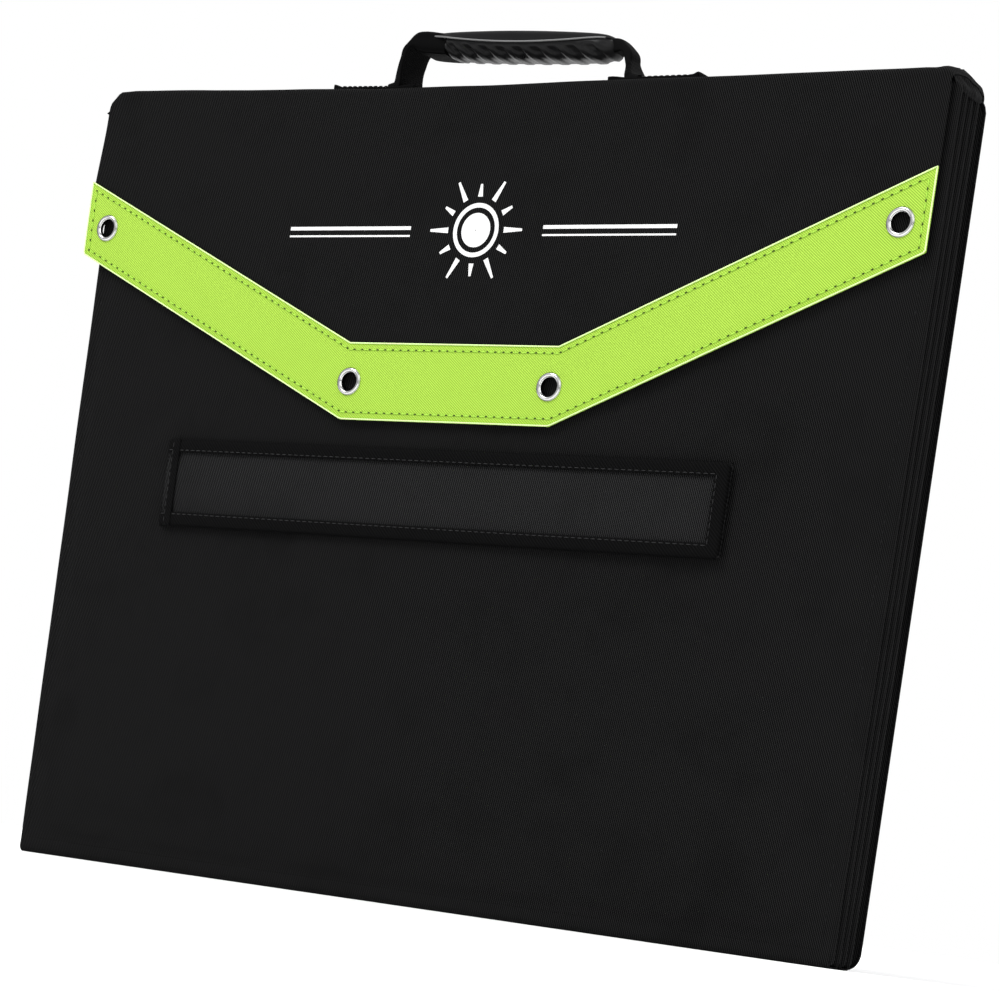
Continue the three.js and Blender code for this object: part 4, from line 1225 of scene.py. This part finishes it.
def strap_tail(side, name):
    """The webbing's sewn-down tail, with a box and cross of stitches."""
    node = f"handle_patch_{name}"
    low, high = mm_box(node)
    foot, end = side * FOOT_X, (high if side > 0 else low)[0]
    x, y = np.meshgrid(lines(*sorted((foot - side * 3, end)), (0, 0.4, 1.2, 3), 3),
                       np.linspace(-WEBBING / 2, WEBBING / 2, 17))
    bulge = 0.25 * noise_at(x, y, 0, 12, 2.0) + 0.9 * bell(x - foot, 6)
    bulge += 1.5 * smooth(1 - np.abs(x - end) / 4.5)
    crown = 0.5 * np.sqrt(np.maximum(0, 1 - (y / (WEBBING / 2)) ** 2))
    z = high[2] + 1.0 + raised(x) + bulge + crown
    piece(f"handle_tail_{name}", sheet(xyz(x, y, z), 3.0, Z, lip=0.3), STRAP, "spine", node,
          slot="black_tape")
    a, b, w = foot + side * 9, end - side * 4, WEBBING / 2 - 2.2
    corners = [(x, y, high[2] + 1.75 + raised(x)) for x, y in
               ((a, -w), (b, -w), (b, w), (a, w), (a, -w), (b, w), (b, -w), (a, w))]
    sewn(f"handle_tail_stitches_{name}", zip(corners[:-1], corners[1:]), "spine", "black_tape",
         pitch=3.6, length=2.6, radius=0.3)


def handle():
    """Two straps with their sewn tails, and the grip they hold with its cap."""
    for side, name in ((-1, "left"), (1, "right")):
        strap(side, name)
        strap_tail(side, name)
    grip()
    grip_cover()


def seam_height(t):
    """Height of the cap's lower edge over the grip's middle: it sags away from its ends."""
    return GRIP_TALL * (0.04 + 0.50 * np.abs(t) ** 2.2)


def grip_section(t, more_depth=0.0, more_height=0.0):
    """Half depth and half height of the grip at t, from -1 to 1 along it."""
    taper = (1 - np.abs(t) ** 18) ** 0.5
    depth = GRIP_DEPTH * (0.74 + 0.26 * np.sqrt(1 - t**2)) + more_depth
    height = GRIP_TALL * (0.80 + 0.20 * (1 - t**2)) + more_height
    return depth * taper, height * taper


def grip():
    """The grip's lower body, with slanting ribs that die out on its underside."""
    rib_pitch, rib_deep, shorter_left = 11.5, 2.2, 0.86
    ends = np.array([0.95, 0.98, 0.995, 1])
    t, a = np.meshgrid([*-ends[::-1], *np.linspace(-0.92, 0.92, 150), *ends], turns(72),
                       indexing="ij")
    y_size, z_size = grip_section(t)
    y, z = y_size * power(np.cos(a), 0.85), z_size * power(np.sin(a), 0.9)
    z = np.where(z < 0, z * (0.76 + 0.10 * t**2), z)
    x = GRIP_HALF * np.where(t < 0, shorter_left, 1.0) * t
    under = seam_height(t) - z
    fall = np.maximum(under, 0)
    slant = x - 0.5 * fall - 0.05 * fall**2
    groove = smooth(0.5 + 0.75 * np.cos(2 * math.pi * slant / rib_pitch))
    cut = rib_deep * groove * smooth((under - 0.8) / 1.4) * smooth((0.95 - np.abs(t)) / 0.06)
    cut *= smooth((under - 1.5) / 3) * (1 - 0.8 * smooth((-z / GRIP_TALL - 0.42) / 0.3))
    left = 1 - cut / np.maximum(np.hypot(y, z), 1e-6)
    body = Shape().closed(hung(xyz(x, y * left, SEAT + z * left)))
    piece("grip_ribbed", body, GRIP, "handle", "grip_body", slot="grip", sharp=50)


def grip_cover():
    """The smooth cap over the ribs, with a pale bead along its lower edges as a painted highlight on
    the cap's rim.
    """
    t, share = np.meshgrid(np.linspace(-0.955, 0.955, 120), np.linspace(-1, 1, 41), indexing="ij")
    y_size, z_size = grip_section(t, 0.45, 0.5)
    lip_angle = np.arcsin(np.clip(seam_height(t) / np.maximum(z_size, 0.1), -1, 0.999))
    angle = math.pi / 2 - share * (math.pi / 2 - lip_angle)
    edge = 0.35 * smooth((np.abs(share) - 0.80) / 0.2)
    y = (y_size + edge) * power(np.cos(angle), 0.85)
    z = z_size * power(np.sin(angle), 0.9) + edge
    p = hung(xyz(GRIP_HALF * t, y, SEAT + z))
    piece("grip_cover", sheet(p, 0.9, Z, lip=0.45), CAP, "handle", "grip_cap", slot="grip")
    # The pale bead is a painted highlight along the cap's lower edges.
    bead = Shape()
    for column in (0, -1):
        path = p[2:-2, column]
        rows = [path + (0, 0.55 * math.cos(a), 0.5 * math.sin(a) - 0.2) for a in turns(8)]
        bead.grid(rows, wrap_rows=True)
    piece("grip_cover_rim_highlight", bead, CAP_RIM_HIGHLIGHT, "handle", slot="grip")


# ---------------------------------------------------------------- rear pocket

RIM_Y = 18.0                       # rear edge of the pocket's piped rim
FACE_IN = 1.6                      # how far in from the rim the pocket's face is sewn
POCKET_MID = (POCKET_LOW[2] + POCKET_HIGH[2]) / 2
POCKET_HALF = ((POCKET_HIGH - POCKET_LOW) / 2)[[0, 2]]
ZIP_LOW, ZIP_HIGH = mm_box("zip_tape")
ZIP_Z = (ZIP_LOW[2] + ZIP_HIGH[2]) / 2


def pocket_loop(u, v, inset, radius=9, inset_z=None):
    """Points across (x, z) of the pocket, drawn in from its outline."""
    inset_z = inset if inset_z is None else inset_z
    x, z = rounded(u, v, POCKET_HALF[0] - inset, POCKET_HALF[1] - inset_z, radius)
    return x, z + POCKET_MID


def rear_pocket():
    """Bellows pocket on the back: a gusset, a piped rim, and a face that bulges over what it
    holds."""
    u = lines(-1, 1, (0, 0.004, 0.010, 0.018, 0.03, 0.05, 0.08), 0.034)
    v = lines(-1, 1, (0, 0.005, 0.012, 0.022, 0.036, 0.06, 0.09), 0.040)
    uu, vv = np.meshgrid(u, v)
    x, z = pocket_loop(uu, vv, FACE_IN)
    bulk = ((1 - np.abs(uu) ** 4) * (1 - np.abs(vv) ** 4)) ** 1.5
    near_zip = smooth((np.abs(z - ZIP_Z) - 5) / 14)
    low_z = z - POCKET_MID
    wrinkle = 1.5 * noise_at(x, 0, low_z, 90, 1.0) + 0.6 * noise_at(x * 0.6, 0, low_z, 28, 2.0)
    rise = (POCKET_HIGH[1] - RIM_Y - 2.5 + wrinkle) * bulk * near_zip + 0.3
    shape = Shape().grid(xyz(x, RIM_Y - 0.4 + rise, z))

    ru, rv = rim(u, v)
    x, z = pocket_loop(ru, rv, FACE_IN)
    rows = [xyz(x, RIM_Y - 0.1, z)]
    for a in arc(6, 60, -90):
        x, z = pocket_loop(ru, rv, FACE_IN * (1 - math.cos(a)))
        rows.append(xyz(x, RIM_Y - 1.5 + 1.4 * math.sin(a), z))
    skin = COVERS[3][1][1] + 0.15
    for share in np.linspace(0, 1, 9):
        y = RIM_Y - 3.4 + (skin - RIM_Y + 3.4) * share
        deep = math.sin(share * math.pi)
        x, z = pocket_loop(ru, rv, 5.4 + 3.2 * deep, 7, 3.0 + 3.2 * deep)
        x = x + np.sign(x) * 0.7 * deep * noise_at(x, y * 2, z - POCKET_MID, 30, 7.0)
        rows.append(xyz(x, y, z + 0.4))
    obj = build("rear_pocket_cloth", shape.grid(rows, wrap_columns=True), BLACK)
    reach = POCKET_HALF - 14
    puff(obj, pin=lambda co: (np.abs(co[:, 0]) > reach[0])
         | (np.abs(co[:, 2] - POCKET_MID) > reach[1]) | (np.abs(co[:, 2] - ZIP_Z) < 9),
         face=lambda co: co[:, 1] > RIM_Y - 0.7, cap=2.2, pressure=1.2, shrink=-0.02,
         frames=18)
    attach(obj, "back_panel")
    stands_for(obj, "rear_pocket")

    rows = []
    for a in turns(8):
        x, z = pocket_loop(ru, rv, 0.9 - math.cos(a))
        rows.append(xyz(x, RIM_Y - 1.6 + 1.3 * math.sin(a), np.maximum(z, 0.02)))
    piping = Shape().grid(rows, wrap_rows=True, wrap_columns=True)
    piece("rear_pocket_piping", piping, BINDING, "back_panel")
    x, z = pocket_loop(ru, rv, 7, 6)
    line = xyz(x, RIM_Y + 0.15, z)
    sewn("rear_pocket_stitches", [np.concatenate([line, line[:1]])], "back_panel")


def zip_fastener():
    """Two tapes, a coil of small teeth, and the slider with its pull."""
    y = ZIP_HIGH[1] + 0.55
    columns = lines(ZIP_LOW[0] + 1, ZIP_HIGH[0] - 1, (0, 1, 3, 8), 6)
    shape = Shape()
    for side in (-1, 1):
        x, z = np.meshgrid(columns, ZIP_Z + side * np.linspace(0.5, 6.5, 7))
        raise_by = 0.25 * smooth(1 - np.abs(z - ZIP_Z) / 2.5) + 0.1 * noise_at(x, 0, z, 11, side)
        sheet(xyz(x, y + raise_by, z), 0.7, Y, lip=0.15, shape=shape)
    piece("zip_tape_cloth", shape, BINDING, "back_panel", "zip_tape", slot="zip")
    coil = Shape()
    pitch, stop, slant = 1.5, 5.0, 0.37
    for k in range(int((ZIP_HIGH[0] - ZIP_LOW[0] - 2 * stop) / pitch)):
        for side in (-1, 1):
            x = ZIP_LOW[0] + stop + k * pitch + side * slant
            coil.closed(capsule((x, y + 0.55, ZIP_Z + side * 1.9),
                                (x, y + 0.75, ZIP_Z - side * 0.5), 0.42, 5))
    material = plastic("zip_coil_black", grey(0.012), 0.4)
    piece("zip_coil", coil, material, "back_panel", slot="zip", weld=False)
    zip_slider()


def zip_slider():
    """Slider body, the bridge over it, and a flat pull that hangs from the bridge."""
    low, high = mm_box("zip_slider")
    cx = (low[0] + high[0]) / 2
    cos, sin = np.cos(turns(40)), np.sin(turns(40))
    rows = []
    for level, grow in ((0.0, 0.80), (0.25, 0.97), (0.8, 1.0), (1.9, 0.97), (2.3, 0.86),
                        (2.45, 0.6), (2.5, 0.01)):
        x = cx + (5.0 - 0.9 * sin) * grow * power(cos, 0.6)
        rows.append(xyz(x, low[1] + 0.2 + level, ZIP_Z + 5.4 * grow * power(sin, 0.6)))
    shape = Shape().grid(rows, wrap_columns=True)
    ring = turns(8)
    rows = []
    for a in arc(13, 0, 180):
        y = low[1] + 2.4 + 2.0 * math.sin(a) + 0.7 * np.cos(ring) * math.sin(a)
        z = ZIP_Z + 1 + 3.0 * math.cos(a) + 0.7 * np.cos(ring) * math.cos(a)
        rows.append(xyz(cx + 0.9 * np.sin(ring), y, z))
    shape.grid(rows, wrap_columns=True)
    length = (high[2] - low[2] - 4) * 0.92
    cos, sin = np.cos(turns(16)), np.sin(turns(16))
    rows = []
    for t in np.linspace(0, 1, 16):
        half = 1.7 + 1.7 * smooth((t - 0.1) / 0.35) - 2.2 * smooth((t - 0.86) / 0.14) ** 2
        rows.append(xyz(cx + max(half, 0.8) * power(cos, 0.6),
                        high[1] - 0.9 + 0.75 * power(sin, 0.7), ZIP_Z - 1.5 - length * t))
    shape.closed(rows)
    piece("zip_pull_metal", shape, ZIP_METAL, "zip_pull", "zip_slider", slot="zip_metal", sharp=40)


# ---------------------------------------------------------------- studio and camera

CAMERA_AT = Vector((1.0210, -1.5008, 0.0155))
CAMERA_TURN = (36.71, 2.52, 7.97)    # azimuth, rise of the axis and roll, degrees
CAMERA_SHIFT = (0.250, 0.500)
LENS, SENSOR = 115.92, 36.0
SEEN_WIDTH, SEEN_DEPTH = 0.454, 0.568    # the case's width as seen, m, and the share of depth
WORLD_LIGHT = 0.95
FLOOR_HALF = 14000.0
MARKS = []


def world_light():
    """Soft grey surroundings for lighting, and plain white for the camera."""
    world = bpy.data.worlds.new("studio")
    bpy.context.scene.world = world
    world.use_nodes = True
    world.node_tree.nodes.clear()
    n = Nodes(world)
    upward = n.new("ShaderNodeSeparateXYZ", {0: n.coordinates.node.outputs["Generated"]})
    height = n.span(upward.outputs["Z"], -1.0, 1.0)
    ramp = n.new("ShaderNodeValToRGB", {"Fac": height})
    stops = ramp.color_ramp.elements
    stops[0].position, stops[0].color = 0.40, (0.42, 0.42, 0.43, 1)
    stops[1].position, stops[1].color = 0.72, (0.95, 0.95, 0.96, 1)
    stops.new(0.52).color = (0.30, 0.30, 0.31, 1)
    lit = n.new("ShaderNodeBackground", {"Color": ramp.outputs["Color"], "Strength": WORLD_LIGHT})
    seen = n.new("ShaderNodeBackground", {"Color": (1.0, 1.0, 1.0), "Strength": 1.0})
    camera_ray = n.new("ShaderNodeLightPath").outputs["Is Camera Ray"]
    mix = n.new("ShaderNodeMixShader", {0: camera_ray, 1: lit.outputs[0], 2: seen.outputs[0]})
    n.new("ShaderNodeOutputWorld", {"Surface": mix.outputs[0]})


def direction(azimuth, elevation):
    """Unit vector to a place: azimuth from -Y towards +X, elevation above the floor, radians."""
    flat = math.cos(elevation)
    return Vector((math.sin(azimuth) * flat, -math.cos(azimuth) * flat, math.sin(elevation)))


def sun(name, strength, angle, azimuth, elevation):
    """A broad soft light from a direction in degrees."""
    data = bpy.data.lights.new(name, "SUN")
    data.energy, data.angle = strength, math.radians(angle)
    back = direction(math.radians(azimuth), math.radians(elevation))
    placed(name, data).rotation_euler = back.to_track_quat("Z", "Y").to_euler()


def marker(body, x, y, z):
    """A point that moves with a body, for the framing and the floor."""
    empty = placed(f"mark_{body}_{len(MARKS)}", None)
    empty.parent = frame["bodies"][body]
    empty.location = (x * MM, y * MM, z * MM)
    MARKS.append(empty)


def driven(owner, channel, index, kind, *readers):
    """A driver that reads places in the world, each given as a name, an object and an axis."""
    driver = owner.driver_add(channel, index).driver
    driver.type = kind
    for name, source, axis in readers:
        variable = driver.variables.new()
        variable.name, variable.type = name, "TRANSFORMS"
        target = variable.targets[0]
        target.id, target.transform_type = source, f"LOC_{axis}"
        target.transform_space = "WORLD_SPACE"
    return driver


def studio():
    """Lights, markers on the moving bodies, the floor and the camera."""
    world_light()
    sun("key", 1.9, 24, -28, 48)
    sun("fill", 0.8, 50, 62, 30)
    sun("rim", 1.0, 20, 150, 50)
    for number, body in enumerate(("front_panel", "panel_2", "panel_3", "back_panel")):
        low, high = COVERS[number]
        for z in (0.0, high[2]):
            marker(body, 0, low[1] if number < 3 else POCKET_HIGH[1], z)
    marker("front_panel", 0, FLAP_LOW[1], 0)
    marker("flap", 0, FLAP_LOW[1], FLAP_LOW[2])
    marker("flap_top", 0, FLAP_LOW[1], TOP)
    marker("handle", 0, 0, CAP_HIGH[2])
    marker("leg", LEG_HIGH[0], LEG_LOW[1], LEG_LOW[2])
    least, greatest = placed("extent_low", None), placed("extent_high", None)
    for empty, kind in ((least, "MIN"), (greatest, "MAX")):
        for index, axis in ((1, "Y"), (2, "Z")):
            driven(empty, "location", index, kind,
                   *((f"m{k}", mark, axis) for k, mark in enumerate(MARKS)))
    floor(least)
    camera(least, greatest)


def floor(least):
    """A plain pale floor that sinks with anything that hangs below the case."""
    edge = np.linspace(-FLOOR_HALF, FLOOR_HALF, 41)
    n = material_nodes("studio_floor")
    cloud = n.noise(1.2, 2.0, 0.5)
    material = n.done(n.mix(cloud, grey(0.90), grey(0.94)), 0.9, Specular_IOR_Level=0.0)
    shape = Shape().grid(xyz(*np.meshgrid(edge, edge), -0.05))
    obj = build("studio_floor", shape, material, recalc=False)
    driven(obj, "location", 2, "SCRIPTED", ("low", least, "Z")).expression = "min(low, 0.0)"


def camera(least, greatest):
    """The photograph's viewpoint. When the object opens, drivers back the camera away along its
    ray, so that all of it stays in the picture."""
    data = bpy.data.cameras.new("camera")
    data.lens, data.sensor_width = LENS, SENSOR
    data.clip_start, data.clip_end = 0.05, 60
    cam = placed("camera", data)
    bpy.context.scene.camera = cam
    azimuth, rise, roll = (math.radians(v) for v in CAMERA_TURN)
    back = direction(azimuth, rise)
    right = Vector((math.cos(azimuth), math.sin(azimuth), 0))
    up = back.cross(right)
    turned_right = math.cos(roll) * right + math.sin(roll) * up
    turned_up = math.cos(roll) * up - math.sin(roll) * right
    cam.rotation_mode = "XYZ"
    cam.rotation_euler = Matrix((turned_right, turned_up, back)).transposed().to_euler("XYZ")
    cam.location = CAMERA_AT
    rig = placed("camera_rig", None)
    cam.parent = rig
    # The lens shift suits this viewpoint only. Nothing else depends on it.
    for channel, shift in zip(("shift_x", "shift_y"), CAMERA_SHIFT):
        driver = data.driver_add(channel).driver
        driver.type = "SCRIPTED"
        variable = driver.variables.new()
        variable.name, variable.type = "mode", "SINGLE_PROP"
        variable.targets[0].id = cam
        variable.targets[0].data_path = "rotation_mode"
        driver.expression = f"{shift} * min(mode, 1)"
    bpy.context.view_layer.update()
    _, y0, z0 = least.matrix_world.translation
    _, y1, z1 = greatest.matrix_world.translation
    centre = Vector((0, (y0 + y1) / 2, (z0 + z1) / 2))
    readers = (("y0", least, "Y"), ("y1", greatest, "Y"), ("z0", least, "Z"), ("z1", greatest, "Z"))
    tall = f"(z1 - z0) / {z1 - z0:.6f}"
    seen = f"({SEEN_WIDTH} + {SEEN_DEPTH} * (y1 - y0))"
    wide = f"{seen} / {SEEN_WIDTH + SEEN_DEPTH * (y1 - y0):.6f}"
    places = ("{0}", f"(y0 + y1) / 2 - {centre.y:.6f} + {{0}}",
              f"max(z0, (z0 + z1) / 2 - {centre.z:.6f} + {{0}})")
    for index, (place, reach) in enumerate(zip(places, CAMERA_AT - centre)):
        grow = f"(max(1.0, max({tall}, {wide})) - 1.0) * {reach:.6f}"
        driven(rig, "location", index, "SCRIPTED", *readers).expression = place.format(grow)


sleeves()
covering()
flap()
trim()
eyelets()
motif()
leg()
handle()
rear_pocket()
zip_fastener()
studio()

scene = bpy.context.scene
scene.view_settings.view_transform = "Standard"
scene.view_settings.look = "None"
